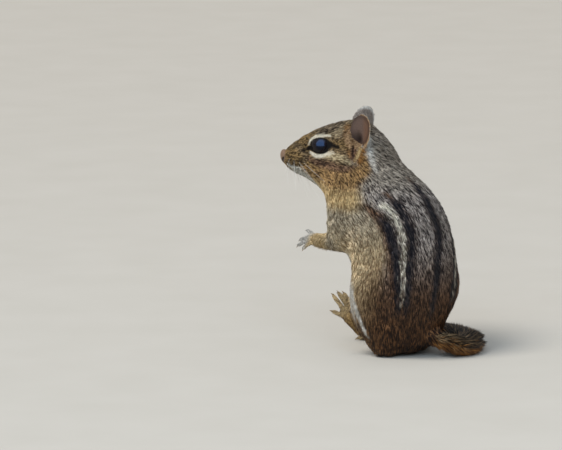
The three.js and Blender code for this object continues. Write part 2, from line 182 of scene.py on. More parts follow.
class ChipmunkStage(bpy.types.PropertyGroup):
    """Camera and light"""

    azimuth: FloatProperty(
        name="Azimuth", description="Way round the animal that the camera stands",
        subtype="ANGLE", default=math.radians(130),
    )
    elevation: FloatProperty(
        name="Elevation", description="Height of the camera over the horizon",
        subtype="ANGLE", default=math.radians(9),
    )
    distance: FloatProperty(
        name="Distance", description="Distance of the camera", unit="LENGTH", default=2.5,
    )
    pixel: FloatProperty(
        name="Pixel", description="Width of one pixel of the picture at the animal",
        unit="LENGTH", precision=6, default=0.46 * MM,
    )
    key: FloatProperty(name="Key light", description="Strength of the key light", default=2.3)
    window: FloatProperty(name="Window", description="Power of the window", default=55.0)
    sky: FloatProperty(name="Sky", description="Power of the sky that the eyes mirror", default=2500.0)
    fill: FloatProperty(name="Fill light", description="Strength of the light all round", default=0.5)


# Small helpers for nodes, meshes and shapes


def add(tree, kind, inputs=None, **settings):
    """Adds a node with its settings. inputs maps an input to its value or to the socket joined to it."""
    node = tree.nodes.new(kind)
    for name, value in settings.items():
        setattr(node, name, value)
    for name, value in (inputs or {}).items():
        if isinstance(value, bpy.types.NodeSocket):
            tree.links.new(value, node.inputs[name])
        else:
            node.inputs[name].default_value = value
    return node


def column(data, name, width=1, kind=np.float32):
    """One property of every item of a collection, as an array."""
    values = np.empty(len(data) * width, kind)
    data.foreach_get(name, values)
    return values.reshape(-1, width) if width > 1 else values


ATTRIBUTE_FIELDS = {"FLOAT": "value", "INT": "value", "FLOAT_VECTOR": "vector", "FLOAT_COLOR": "color"}


def put(mesh, name, kind, values):
    """Stores one value for each vertex under a name."""
    attribute = mesh.attributes.get(name) or mesh.attributes.new(name, kind, "POINT")
    number = np.int32 if kind == "INT" else np.float32
    attribute.data.foreach_set(ATTRIBUTE_FIELDS[kind], np.ascontiguousarray(values, number).ravel())


def move_vertices(mesh, place):
    """Moves a mesh's vertices to these places."""
    mesh.vertices.foreach_set("co", (place * MM).astype(np.float32).ravel())
    mesh.update()


def fine_ball(name):
    """A mesh of a ball, and the way from its middle to each vertex."""
    ball = bmesh.new()
    bmesh.ops.create_icosphere(ball, subdivisions=6, radius=1)
    mesh = bpy.data.meshes.new(name)
    ball.to_mesh(mesh)
    ball.free()
    return mesh, column(mesh.vertices, "co", 3).astype(float)


def surface_tree(mesh):
    """A tree that finds the nearest point of a mesh."""
    return BVHTree.FromPolygons([v.co for v in mesh.vertices], [p.vertices for p in mesh.polygons])


def ramp(low, high, x):
    """0 below low and 1 above high, with a smooth change between them; low may be the greater."""
    t = np.clip((x - low) / (high - low), 0, 1)
    return t * t * (3 - 2 * t)


def unit(vectors):
    """Vectors of length one."""
    return vectors / np.maximum(np.linalg.norm(vectors, axis=-1, keepdims=True), 1e-9)


def middle(node):
    """The middle of a CAD node's box."""
    low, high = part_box(node)
    return np.array((low + high) / 2) / MM


def span(node):
    """The sides of a CAD node's box."""
    low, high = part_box(node)
    return np.array(high - low) / MM


def new_object(name, mesh):
    """An object at the origin that shows a mesh."""
    made = bpy.data.objects.new(name, mesh)
    bpy.context.scene.collection.objects.link(made)
    return made


def evaluated_mesh(obj):
    """A plain mesh of the object with its modifiers applied."""
    graph = bpy.context.evaluated_depsgraph_get()
    return bpy.data.meshes.new_from_object(obj.evaluated_get(graph), depsgraph=graph)


CHAIN_STEPS, CHAIN_ROUNDS = 90, 6  # points that a chain is divided into, and rounds of smoothing it
PLACES_AT_ONCE = 20000  # so that the table of distances stays small


def along_chain(points, place):
    """For each place: the nearest point of a smooth line through a chain of points, and its tangent there."""
    chain = np.array(points, float)
    lengths = np.linalg.norm(np.diff(chain, axis=0), axis=1)
    steps = np.concatenate([[0], np.cumsum(lengths)])
    at = np.linspace(0, steps[-1], CHAIN_STEPS)
    fine = np.stack([np.interp(at, steps, axis) for axis in chain.T], 1)
    for _ in range(CHAIN_ROUNDS):
        fine[1:-1] = (fine[:-2] + 2 * fine[1:-1] + fine[2:]) / 4
    tangents = unit(np.gradient(fine, axis=0))
    parts = np.array_split(place, max(1, len(place) // PLACES_AT_ONCE))
    nearest = np.concatenate([((part[:, None] - fine[None]) ** 2).sum(2).argmin(1) for part in parts])
    return fine[nearest], tangents[nearest]


# Axes of the head: forward along the muzzle, out to its left, and up, from between the eyes

HEAD_MIDDLE = (middle("eye_left") + middle("eye_right")) / 2
HEAD_OUT = unit(middle("eye_left") - middle("eye_right"))
HEAD_UP = np.array([0.0, 0.0, 1.0])
HEAD_FORWARD = np.cross(HEAD_OUT, HEAD_UP)
NOSE_MIDDLE = middle("nose")


def on_head(place):
    """Places in the head's axes: forward, out, up."""
    return (place - HEAD_MIDDLE) @ np.stack([HEAD_FORWARD, HEAD_OUT, HEAD_UP], 1)


def from_head(forward, out, up):
    """The place of a point given in the head's axes."""
    return HEAD_MIDDLE + HEAD_FORWARD * forward + HEAD_OUT * out + HEAD_UP * up


# Axes of each eye: the way it looks, and back and up across the opening between its lids

EYE_MIDDLE = {1: middle("eye_left"), -1: middle("eye_right")}
EYE_RADIUS = span("eye_left")[2] / 2
GAZE_UP, GAZE_BACK = 0.06, 0.07  # slopes of the gaze
FRONT_CORNER_AT = math.radians(198)  # way round the opening of the corner by the nose; the other is at 0
FRONT_CORNER, BACK_CORNER = 0.7, 0.6  # how far the corners draw the opening out
CORNER_WIDTH = 0.28  # in radians round the opening


def gaze(side):
    """The way an eye looks, out of the side of the head, and the directions across its opening."""
    out = unit(HEAD_OUT * side + HEAD_UP * GAZE_UP - HEAD_FORWARD * GAZE_BACK)
    back = unit(-HEAD_FORWARD - out * float(out @ -HEAD_FORWARD))
    return out, back, unit(HEAD_UP - out * float(out @ HEAD_UP))


def eye_rim(side, place, eyes):
    """How far each place is outside the opening between the lids, and in front of the eye's middle."""
    out, back, up = gaze(side)
    off = place - EYE_MIDDLE[side]
    x, y, front = off @ back, off @ up, off @ out
    turn = np.arctan2(y, x)
    width, height = eyes.opening_width / MM / 2, eyes.opening_height / MM / 2
    edge = width * height / np.hypot(height * np.cos(turn), width * np.sin(turn))
    off_corner = np.angle(np.exp(1j * (turn - FRONT_CORNER_AT)))
    front_corner = FRONT_CORNER * np.exp(-((off_corner / CORNER_WIDTH) ** 2))
    back_corner = BACK_CORNER * np.exp(-((turn / CORNER_WIDTH) ** 2))
    return np.hypot(x, y) - (edge + (front_corner + back_corner)), front


# Axes of each ear: back across it, up it, and out of its hollow

EAR_TURN = 0.75  # how far the hollows turn forwards, in radians
EAR_LEAN_BACK, EAR_LEAN_OUT = 0.15, 0.14  # slopes of the ears' middle lines
EAR_HALF = (7.1, 10.25)  # half width and half height
EAR_DEPTH = 4  # how far out of its middle sheet an ear's skin may lie
EAR_MIDDLE = {1: (-19.0, 15.0, 5.4), -1: (-18.0, 15.0, 5.4)}  # left and right: forward, out, up
BOWL_MIDDLE, BOWL_HALF = 2.7, (6.9, 7.6)  # height of the hollow's middle in the ear, and its half sides
BOWL_LEAN, BOWL_TAPER = 0.2, 0.12  # how far the hollow leans back as it rises, and by what share it widens


def ear_axes(side):
    """The way across an ear, backwards, the way up it and the way out of its hollow, in the frame's axes."""
    outward = HEAD_OUT * side
    hollow = HEAD_FORWARD * math.sin(EAR_TURN) + outward * math.cos(EAR_TURN)
    across = outward * math.sin(EAR_TURN) - HEAD_FORWARD * math.cos(EAR_TURN)
    up = unit(HEAD_UP - HEAD_FORWARD * EAR_LEAN_BACK + outward * EAR_LEAN_OUT)
    return across, up, hollow


def on_ear(place):
    """Places in the axes of the ear on their side: back across it, up it, and out of its hollow."""
    out = on_head(place)[:, 1]
    values = np.zeros((len(place), 3))
    for side in (1, -1):
        mine = out * side >= 0
        forward, outward, up = EAR_MIDDLE[side]
        off = place[mine] - from_head(forward, outward * side, up)
        values[mine] = off @ np.stack(ear_axes(side), 1)
    return values.T


def push_ears(place, out, axis, move):
    """Moves places along one axis of the ear on their side of the head."""
    for side in (1, -1):
        mine = out * side >= 0
        place[mine] += ear_axes(side)[axis] * move[mine][:, None]


def bowl_rim(wide, tall):
    """The share of the way from the middle of an ear's hollow to its rim."""
    across = wide - BOWL_LEAN * (tall - BOWL_MIDDLE)
    half = BOWL_HALF[0] * (1 + BOWL_TAPER * tall / EAR_HALF[1])
    return np.hypot(across / half, (tall - BOWL_MIDDLE) / BOWL_HALF[1])


def ear_hollow(normal, out):
    """How far a normal faces out of the ear's hollow side."""
    open_way = np.where(out[:, None] >= 0, ear_axes(1)[2][None], ear_axes(-1)[2][None])
    return (normal * open_way).sum(1)


# Chart of the body: height, and the way round from the midline of the back

# Middle line of the body in its plane of symmetry, from the head to the seat: y and z
SPINE = [
    (-26, 98), (-24, 94), (-21, 84), (-18, 75), (-12, 65), (-1.6, 57), (2.8, 45), (3.4, 33), (2, 19.9),
    (1, 6),
]
# The hindquarters turn a little to the left: height, and the midline's turn in degrees
TWIST = [(31, 15), (38, 12.5), (45, 10), (52, 4), (58, 0)]
GIRTH = 24.0  # radius at which the body's angles are read as lengths


def on_body(place):
    """Places on the trunk: height, and the way round from the midline of the back, as a length."""
    centre, tangent = along_chain(SPINE, place[:, 1:])
    dorsal = np.stack([-tangent[:, 1], tangent[:, 0]], 1)
    off = place[:, 1:] - centre
    angle = np.arctan2(place[:, 0], (off * dorsal).sum(1))
    heights, turns = np.array(TWIST, float).T
    angle -= np.radians(np.interp(place[:, 2], heights, turns))
    return place[:, 2], angle * GIRTH


# Shapes on a chart

FIRM = 0.35  # softness of a stroke with a firm edge


def stroke(x, y, rows, soft=FIRM):
    """How far a brush stroke covers each point of a chart. rows are (x, y, half width); soft is the share of
    the half width over which it fades."""
    cover = np.zeros(len(x))
    for (x0, y0, w0), (x1, y1, w1) in zip(rows[:-1], rows[1:]):
        dx, dy = x1 - x0, y1 - y0
        t = np.clip(((x - x0) * dx + (y - y0) * dy) / (dx * dx + dy * dy), 0, 1)
        half = w0 + (w1 - w0) * t
        gap = np.hypot(x - x0 - dx * t, y - y0 - dy * t)
        cover = np.maximum(cover, ramp(half * (1 + soft), half * (1 - soft), gap))
    return cover


def mound(x, y, top, half):
    """The height of a round mound, 1 at its top, at each point of a chart."""
    return np.exp(-(((x - top[0]) / half[0]) ** 2 + ((y - top[1]) / half[1]) ** 2))


# Skin

# Length of the hair and how steeply it stands, in degrees, on each node
HAIR = {
    "trunk": (3.7, 12), "neck": (3.3, 13), "thigh": (3.6, 12), "tail": (6.6, 20), "ear": (0.6, 6),
    "foreleg": (2.6, 10), "forepaw": (0.8, 6), "hind_foot": (1.1, 6),
    "head": (0, 10), "nose": (0, 6), "eye": (0, 6),
}
BOW = 0.05  # how far a tuft bows outwards, as a share of its length
# On the head the length goes by the distance from the nose: the least, the greatest, its growth to a
# millimetre, and the distance from which it grows
HEAD_KINDS = ("head", "nose", "eye")
SHORTEST, LONGEST, PER_MM, HAIR_FROM = 0.9, 3.6, 0.1, 4
# Hair before the ears: how far beyond them it is shorter, across and up, and by what share
BEFORE_EAR, BEFORE_EAR_SHORTER = (3, 1.5), 0.6
HAIR_ROUNDS = 14  # of smoothing the hair's length and rise
# Rounds of smoothing the skin on each node; the others have FEW_ROUNDS
ROUNDS = {"trunk": 26, "neck": 26, "thigh": 20, "head": 12, "foreleg": 12, "tail": 12, "forepaw": 1}
FEW_ROUNDS = 2
ROUNDS_BLEND = 8  # rounds of smoothing the number of rounds from node to node
SHRINK, SWELL = 0.5, -0.52  # shares of the way to the neighbours' mean, by turns, to keep the forms' size


class Sheet:
    """The skin's vertices as arrays, with what it takes to smooth values over it."""

    def __init__(self, mesh):
        self.place = column(mesh.vertices, "co", 3).astype(float) / MM
        self.edges = column(mesh.edges, "vertices", 2, np.int32)
        self.normal = column(mesh.vertex_normals, "vector", 3).astype(float)
        self.count = len(self.place)
        self.degree = np.maximum(np.bincount(self.edges.ravel(), minlength=self.count), 1)

    def around(self, values):
        """The mean of each vertex's neighbours."""
        flat = values.reshape(self.count, -1)
        a, b = self.edges.T
        sums = [
            np.bincount(a, flat[b, k], self.count) + np.bincount(b, flat[a, k], self.count)
            for k in range(flat.shape[1])
        ]
        return (np.stack(sums, 1) / self.degree[:, None]).reshape(values.shape)

    def smoothed(self, values, rounds):
        """Values after rounds of taking half the neighbours' mean."""
        for _ in range(rounds):
            values = (values + self.around(values)) / 2
        return values


def kind_of(node):
    """A node's name without its side or number."""
    for kind in HAIR:
        if node.startswith(kind):
            return kind
    raise ValueError(f"no hair is given for the node {node}")


def grown_solids(grow):
    """One mesh of every CAD node, the names of the nodes, and the number of each face's node. The nodes grow
    so that neighbours overlap, apart from the feet, whose toes stay clear of each other."""
    joined, owners = bmesh.new(), []
    names = sorted(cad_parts)
    for number, name in enumerate(names):
        solid = bmesh.new()
        solid.from_mesh(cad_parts[name].data)
        bmesh.ops.remove_doubles(solid, verts=solid.verts, dist=1e-6)
        solid.normal_update()
        for vertex in solid.verts:
            vertex.co += vertex.normal * grow * (0 if "foot" in name or "paw" in name else 1)
        part = bpy.data.meshes.new(name)
        solid.to_mesh(part)
        joined.from_mesh(part)
        owners += [number] * len(part.polygons)
        solid.free()
        bpy.data.meshes.remove(part)
    mesh = bpy.data.meshes.new("flesh")
    joined.to_mesh(mesh)
    joined.free()
    return mesh, names, owners


def nearest_nodes(mesh, names, owners, place):
    """The kind of the CAD node nearest to each place."""
    tree = surface_tree(mesh)
    owner = [owners[tree.find_nearest(Vector(p))[2]] for p in place * MM]
    return np.array([kind_of(names[k]) for k in owner])


def hair_of(kinds, place):
    """Length and rise of the hair at each place, before smoothing."""
    length, rise = (np.array([HAIR[kind][i] for kind in kinds], float) for i in range(2))
    away = np.linalg.norm(place - NOSE_MIDDLE, axis=1)
    head = np.isin(kinds, HEAD_KINDS)
    length[head] = np.clip(SHORTEST + PER_MM * (away[head] - HAIR_FROM), SHORTEST, LONGEST)
    wide, tall, front = on_ear(place)
    round_ear = np.hypot(wide / (EAR_HALF[0] + BEFORE_EAR[0]), tall / (EAR_HALF[1] + BEFORE_EAR[1]))
    before_ear = ramp(1.15, 0.75, round_ear) * ramp(-2, 1, front) * np.isin(kinds, ("head", "neck"))
    length *= 1 - BEFORE_EAR_SHORTER * before_ear
    return length, rise


def refine(mesh, wanted):
    """Divides the edges between wanted vertices once, so that small forms can be modelled there."""
    work = bmesh.new()
    work.from_mesh(mesh)
    work.verts.ensure_lookup_table()
    edges = [e for e in work.edges if wanted[e.verts[0].index] and wanted[e.verts[1].index]]
    bmesh.ops.subdivide_edges(work, edges=edges, cuts=1, use_grid_fill=True)
    bmesh.ops.triangulate(work, faces=[f for f in work.faces if len(f.verts) > 4])
    work.to_mesh(mesh)
    work.free()


# Parts that the grid wears down, each drawn out again to this depth; below 0 it is out of its solid
THIN_PARTS = {"forepaw": -0.22, "hind_foot": -0.08, "ear": -0.05}
DRAWN_FROM = 1.8  # greatest distance over which the skin is drawn to its solid


def drawn_out(place, kinds):
    """Places with those of the thin parts drawn to the surfaces of their solids."""
    for name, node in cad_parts.items():
        depth = THIN_PARTS.get(kind_of(name))
        if depth is None:
            continue
        tree = surface_tree(node.data)
        for k in np.flatnonzero(kinds == kind_of(name)):
            spot, normal, _, _ = tree.find_nearest(Vector(place[k] * MM), DRAWN_FROM * MM)
            if spot is not None:
                place[k] = np.array(spot - normal * depth * MM) / MM
    return place


LIDS_REACH, LIDS_BEHIND = 6, 3.2  # how far from the balls, and behind their middles, the lids draw the skin
LID_EDGE = 0.5  # width over which a lid rounds off towards its rim
SUNK = 0.5  # how far the skin lies under the ball in the opening
LID_BAND, LID_FALL = (0.4, 4.2), 0.8  # how far from the rim a lid begins to leave the ball and has left it
LID_FLANK = 0.8  # how far before and behind its middle the skin ceases to be drawn to the ball


def shape_lids(place, eyes):
    """Draws the skin over the balls as lids and sinks it under them in the openings."""
    lid = eyes.lid / MM
    for side, centre in EYE_MIDDLE.items():
        outside, front = eye_rim(side, place, eyes)
        off = place - centre
        away = np.linalg.norm(off, axis=1)
        near = (away < EYE_RADIUS + LIDS_REACH) & (front > -LIDS_BEHIND)
        over = EYE_RADIUS + lid * np.sqrt(np.clip(outside / LID_EDGE, 0, 1))
        over = np.where(outside < 0, EYE_RADIUS - SUNK, over)
        over = np.where(front < 0, EYE_RADIUS + lid, over)
        blend = np.maximum(ramp(*LID_BAND, outside) ** LID_FALL, ramp(LID_FLANK, -LID_FLANK, front))
        target = over * (1 - blend) + np.maximum(away, over) * blend
        place[near] = centre + off[near] * (target[near] / away[near])[:, None]
    return place


# The mouth on the side of the head, and the rows of whiskers: forward and up, with the mouth's half width
MOUTH = [(16.3, -8.6, 0.35), (14.6, -9.9, 0.4), (11.9, -10.2, 0.42), (8.6, -9.6, 0.4), (7.4, -9.0, 0.3)]
WHISKER_ROWS = (-6.2, -7.8, -9.2)
MOUTH_SOFT, MOUTH_REACH = 0.7, 16  # softness of the mouth, and how far from the nose it may lie
MOUTH_DEPTH, PAD_HEIGHT = 0.5, 0.35
PAD_MIDDLE, PAD_HALF = (12.5, -7.2), (3.2, 2.4)  # of a whisker pad: forward and up
PAD_BAND = (1.5, 3.5)  # distances from the midline between which the pads rise


def mouth_line(place):
    """How far the line of the mouth covers each place, and which places are on the face."""
    forward, _, up = on_head(place).T
    face = np.linalg.norm(place - NOSE_MIDDLE, axis=1) < MOUTH_REACH
    return stroke(forward, up, MOUTH, MOUTH_SOFT) * face, face


def shape_face(place, normal):
    """Presses the mouth into the skin and swells the whisker pads."""
    forward, out, up = on_head(place).T
    line, face = mouth_line(place)
    pad = mound(forward, up, PAD_MIDDLE, PAD_HALF) * face * ramp(*PAD_BAND, np.abs(out))
    return place + normal * (PAD_HEIGHT * pad - MOUTH_DEPTH * line)[:, None]


EAR_BROADER = 1.5  # how far back the hind rim of each ear is drawn
BOWL_DEPTH, EAR_THICK = 2.8, 1.3  # of the hollow, and of the ear behind it
BOWL_DEEPEST, BOWL_CURVE = -0.9, 6.2  # place across the ear of the hollow's deepest line, and its half width
BOWL_TALL = 0.25  # share of the depth by which the hollow also rises towards the ear's tip and root
HOLE_MIDDLE, HOLE_HALF, HOLE_DEPTH = (-2.2, -1.6), (2.4, 2.6), 1.3  # of the ear's hole: across and up
RIM_AT, RIM_HALF, RIM_HEIGHT = 0.95, 0.08, 0.55  # share of the way out to the raised rim, and half its width
BOWL_OPEN = 7  # how far out of the ear the skin may stand that is carved back into the hollow


def shape_ears(place, kinds):
    """Rounds the hind rims of the ears, hollows the skin into their bowls and raises the bowls' rims."""
    out = on_head(place)[:, 1]
    wide, tall, front = on_ear(place)
    back = EAR_BROADER * ramp(0.5, 5, wide) * ramp(-2.5, 1, front) * ramp(-6, 0, tall) * (kinds == "ear")
    push_ears(place, out, 0, back)
    wide, tall, front = on_ear(place)
    round_ear = bowl_rim(wide, tall)
    across = ((wide - BOWL_DEEPEST) / BOWL_CURVE) ** 2
    bowl = BOWL_DEPTH * (across + BOWL_TALL * (tall / EAR_HALF[1]) ** 2 - 0.5) + EAR_THICK / 2
    bowl -= HOLE_DEPTH * mound(wide, tall, HOLE_MIDDLE, HOLE_HALF)
    bowl += RIM_HEIGHT * np.exp(-(((round_ear - RIM_AT) / RIM_HALF) ** 2))
    carved = ramp(1.02, 0.9, round_ear) * (front > bowl) * (front < BOWL_OPEN)
    push_ears(place, out, 2, (bowl - front) * carved)
    return place


OUT_OF_REACH = 1000  # stands for the reach of a vertex that no way leads to


def steps_over(sheet, mesh):
    """Pairs of vertices that a way over the skin may step between: edges, and diagonals of squares."""
    quads = [tuple(p.vertices) for p in mesh.polygons]
    pairs = {tuple(sorted(e)) for e in sheet.edges.tolist()}
    pairs |= {tuple(sorted((q[i], q[i + 2]))) for q in quads if len(q) == 4 for i in (0, 1)}
    return np.array(sorted(pairs))


def reach_from(start, sheet, steps):
    """The length of the shortest way over the skin from one vertex to each."""
    links = [[] for _ in range(sheet.count)]
    lengths = np.linalg.norm(sheet.place[steps[:, 0]] - sheet.place[steps[:, 1]], axis=1)
    for (a, b), length in zip(steps.tolist(), lengths.tolist()):
        links[a].append((b, length))
        links[b].append((a, length))
    reach = [math.inf] * sheet.count
    reach[start] = 0.0
    queue = [(0.0, start)]
    while queue:
        far, here = heappop(queue)
        if far > reach[here]:
            continue
        for there, length in links[here]:
            if far + length < reach[there]:
                reach[there] = far + length
                heappush(queue, (far + length, there))
    return np.minimum(np.array(reach), OUT_OF_REACH)


# How far the hair follows the line of the back rather than the shortest way from the nose, on each node
BACKWARD = {"trunk": 1.0, "neck": 0.55, "thigh": 0.85}
REACH_ROUNDS, BACKWARD_ROUNDS, LIE_ROUNDS = 12, 16, 5  # of smoothing
LIE_PASSES = 4  # times that the lie is smoothed and laid back along the skin


def lie_of_coat(sheet, mesh, kinds):
    """The way the hair lies at each vertex: over the skin away from the nose, and down the back."""
    steps = steps_over(sheet, mesh)
    start = int(np.linalg.norm(sheet.place - NOSE_MIDDLE, axis=1).argmin())
    reach = sheet.smoothed(reach_from(start, sheet, steps), REACH_ROUNDS)
    a, b = steps.T
    step = sheet.place[b] - sheet.place[a]
    slope = ((reach[b] - reach[a]) / np.maximum((step**2).sum(1), 1e-9))[:, None] * step
    slopes = [np.bincount(a, part, sheet.count) + np.bincount(b, part, sheet.count) for part in slope.T]
    lie = unit(np.stack(slopes, 1))
    tangent = along_chain(SPINE, sheet.place[:, 1:])[1]
    backward = np.stack([np.zeros(sheet.count), tangent[:, 0], tangent[:, 1]], 1)
    share = sheet.smoothed(np.array([BACKWARD.get(kind, 0.0) for kind in kinds]), BACKWARD_ROUNDS)[:, None]
    lie = lie * (1 - share) + backward * share
    for _ in range(LIE_PASSES):
        lie = sheet.smoothed(unit(lie), LIE_ROUNDS)
        lie -= sheet.normal * (lie * sheet.normal).sum(1, keepdims=True)
    return unit(lie)


# Markings

# Strokes on the body: height, way round in degrees, half width
MEDIAN = [(81, 0, 0.6), (76, 0, 1.4), (69, 0, 2.3), (55, 0, 2.5), (40, 0, 2.2), (28, 0, 1.4), (20, 0, 0.5)]
INNER_DARK = [
    (75, 38, 0.9), (71.5, 36, 1.7), (65, 36.5, 2.0), (59, 35.6, 2.0), (46, 33.8, 1.9), (39, 33, 1.7),
    (28, 32.6, 1.2), (21, 32.6, 0.4),
]
WHITE = [
    (69.5, 52, 0.9), (70.5, 48, 1.2), (67.5, 46, 1.3), (64, 47, 1.25), (59, 45.5, 1.15), (54, 44, 1.05),
    (46, 41, 0.85), (34, 38.2, 0.6), (26, 37.2, 0.25),
]
OUTER_DARK = [
    (67, 61, 1.2), (64.5, 59, 2.1), (61, 57.5, 2.7), (56, 56, 2.6), (50, 51.5, 2.3), (42.6, 47.5, 1.9),
    (35, 44, 1.4), (28, 42, 0.9), (22, 41, 0.4),
]
STRIPE_EDGE = [(69, 63, 1.8), (61, 62.5, 2.6), (52, 58, 2.6), (43, 52.5, 2.2), (34, 48, 1.6), (25, 45, 0.8)]

# Strokes on the side of the head: forward, up, half width
EYE_RING_TOP = [(5.2, 0.2, 0.38), (4.1, 2.4, 0.54), (1.5, 3.95, 0.58), (-1.6, 4.45, 0.6), (-4.7, 4.5, 0.44)]
EYE_RING_UNDER = [
    (4.5, -3.0, 0.4), (3.4, -3.8, 0.7), (1.3, -4.7, 1.05), (-1.6, -4.4, 1.1), (-4.2, -3.3, 0.85),
    (-6.5, -2.4, 0.5),
]
BROW_STRIPE = [(-4.6, 4.7, 0.8), (-8.2, 5.3, 1.1), (-11.0, 7.6, 1.3), (-13.4, 9.6, 1.0)]
PALE_CHEEK = [(-3.6, -4.4, 1.2), (-9.4, -4.6, 1.7), (-14.5, -6.2, 1.3)]
STREAK_FRONT = [(4.2, -1.2, 1.0), (5.6, -1.8, 0.6), (7.6, -2.9, 0.35)]
STREAK_BACK = [(-3.6, 0.9, 1.5), (-5.2, 0.8, 1.25), (-7.0, 0.3, 0.8), (-9.5, 0.0, 0.5)]
BROWN_BACK = [(-7.0, 1.6, 1.2), (-11.0, 1.4, 1.9), (-14.0, 0.6, 1.6)]  # between the eye and the ear
CHEEK_STRIPE = [
    (5.4, -6.0, 0.8), (2.5, -7.2, 1.2), (-0.8, -8.0, 1.6), (-5, -8.5, 2.0), (-9, -9.2, 1.8),
    (-13.1, -9.4, 1.5), (-16, -8.5, 0.8),
]
CHEEK_ORANGE = [
    (7.5, -10.3, 1.5), (1, -12.3, 3.4), (-7, -14.5, 5.0), (-15, -13.5, 5.5), (-21.5, -9.5, 3.4),
    (-21.5, -4.5, 1.8),
]
MUZZLE_SHADE = [(15.5, 0.5, 1.0), (10.5, -1.0, 1.4), (6.0, -4.5, 1.2), (7.5, -7.5, 1.0)]
LIP = [(15.4, -9.7, 0.5), (12.6, -10.9, 0.8), (9.0, -11.4, 0.7)]
THROAT = [(-3, -18, 5.0), (-7, -22, 6.0), (-14, -22, 6.0)]
NAPE_WHITE = [(-22.6, 4.5, 0.7), (-23.2, 1.0, 1.4), (-24.2, -4.0, 1.6), (-27, -10.0, 1.2)]
EAR_FRONT = [(-12.6, 8.0, 1.6), (-13.2, 2.5, 2.0), (-16.0, -3.0, 2.4), (-19.5, -5.0, 1.6)]
# The lobe under the ear's notch: its orange edge, grey skin, a pale fold, and the notch's shadow
EAR_LOBE = [
    ("ear_orange", [(-20.3, -0.5, 0.8), (-19.2, -6.2, 1.0)]),
    ("cheek_stripe", [(-16.0, -0.6, 1.1), (-16.0, -4.4, 1.0)]),
    ("throat", [(-19.2, -0.2, 0.7), (-18.0, -3.6, 0.7), (-16.6, -5.9, 0.5)]),
    ("eye_streak", [(-15.9, 0.8, 0.4), (-15.7, -3.0, 0.4)]),
]
LOBE_SOFT = 0.5
BESIDE_MIDLINE = ("aside", 4, 8)  # band that keeps a mark of the side of the head off the midline

# The white edge along the thigh, on the left side: y, height, half width
THIGH_MARGIN = [(-6.6, 30, 1.4), (-4.0, 24.1, 1.1), (-3.0, 19.0, 1.0), (-1.3, 14.4, 0.9), (0.2, 10.5, 0.7)]

FUZZ = 0.7  # how unevenly the hairs break the edges of the stripes

# Looks of the trunk in the order in which they are laid: strength, and bands, each with the axis of the
# chart, where it begins and where it is full. "side" is the way round from the midline of the back
TRUNK_LOOKS = [
    ("flank", 1.0, []),
    ("shoulder", 1.0, [("height", 44, 66), ("side", 19, 26), ("side", 66, 52)]),
    ("grizzle", 1.0, [("side", 29, 22), ("height", 94, 84)]),
    ("nape", 1.0, [("height", 70, 82), ("side", 42, 28)]),
    # The rump's brown grows towards the floor all round: partly the coat's own colour, partly painted shade
    # low on the body
    ("rump", 0.9, [("height", 56, 26), ("side", 42, 24)]),
    ("rump", 0.7, [("height", 32, 8), ("side", 54, 36)]),
    ("rump", 0.5, [("height", 25, 12)]),
    ("chest", 1.0, [("side", 48, 58), ("height", 86, 70)]),
    ("belly", 1.0, [("side", 52, 57), ("height", 54, 40)]),
]

# Looks of the head likewise: strength, whether they stay on the head or reach the neck and trunk near it,
# the stroke with its softness, and bands of the head's axes. "aside" is the distance from the midline
HEAD_LOOKS = [
    ("throat", 1.0, "near", (THROAT, 0.6), []),
    ("crown", 1.0, "head", None, []),
    ("muzzle", 1.0, "head", None, [("forward", -1, 7)]),
    ("muzzle", 0.6, "head", None, [("up", 6, 2), ("forward", -16, -10)]),
    ("throat", 1.0, "head", None, [("up", -13, -17)]),
    ("nape", 1.0, "near", None, [("forward", -20, -25), ("up", -10, -4)]),
    ("cheek", 1.0, "near", (CHEEK_ORANGE, 0.5), []),
    (
        "chin", 1.0, "head", None,
        [("out", 6.5, 4.0), ("out", -6.5, -4.0), ("up", -11, -12.5), ("forward", -3, 4)],
    ),
    ("ear_white", 0.9, "near", (NAPE_WHITE, 0.6), [BESIDE_MIDLINE]),
    ("cheek_pale", 0.5, "head", (BROW_STRIPE, 0.8), []),
    ("cheek_pale", 0.9, "near", (PALE_CHEEK, 0.8), []),
    ("ear_orange", 0.8, "near", (EAR_FRONT, 0.6), []),
    ("cheek_stripe", 0.8, "near", (CHEEK_STRIPE, 0.9), []),
    ("crown", 0.6, "head", (MUZZLE_SHADE, 0.9), []),
    *(
        ("eye_streak", 0.5, "head", ([(14.5, up + 0.5, 0.3), (7.5, up - 0.2, 0.3)], 0.8), [])
        for up in WHISKER_ROWS
    ),
    ("muzzle", 0.9, "head", (BROWN_BACK, 0.6), []),
    ("eye_ring", 1.0, "head", (EYE_RING_TOP, FIRM), []),
    ("eye_ring", 1.0, "head", (EYE_RING_UNDER, FIRM), []),
    ("eye_streak", 1.0, "head", (STREAK_FRONT, FIRM), []),
    ("eye_streak", 1.0, "head", (STREAK_BACK, FIRM), []),
    ("chin", 1.0, "head", (LIP, 0.5), []),
]


def in_girth(rows):
    """Body strokes with their angles as lengths round the body."""
    return [(height, math.radians(angle) * GIRTH, half) for height, angle, half in rows]


class Paint:
    """Pale colour, dark colour and share of dark hairs at each vertex."""

    def __init__(self, count, colours):
        self.colours = colours
        self.values = np.zeros((count, 7))

    def lay(self, name, cover):
        """Lays a look over what is there, where it covers it."""
        look = [getattr(self.colours, f"{name}_{kind}") for kind in ("pale", "dark", "share")]
        full = np.concatenate([look[0], look[1], [look[2]]])
        self.values += (full - self.values) * np.clip(cover, 0, 1)[:, None]


def in_bands(cover, chart, bands):
    """A cover kept to the bands of a chart."""
    for axis, start, full in bands:
        cover = cover * ramp(start, full, chart[axis])
    return cover


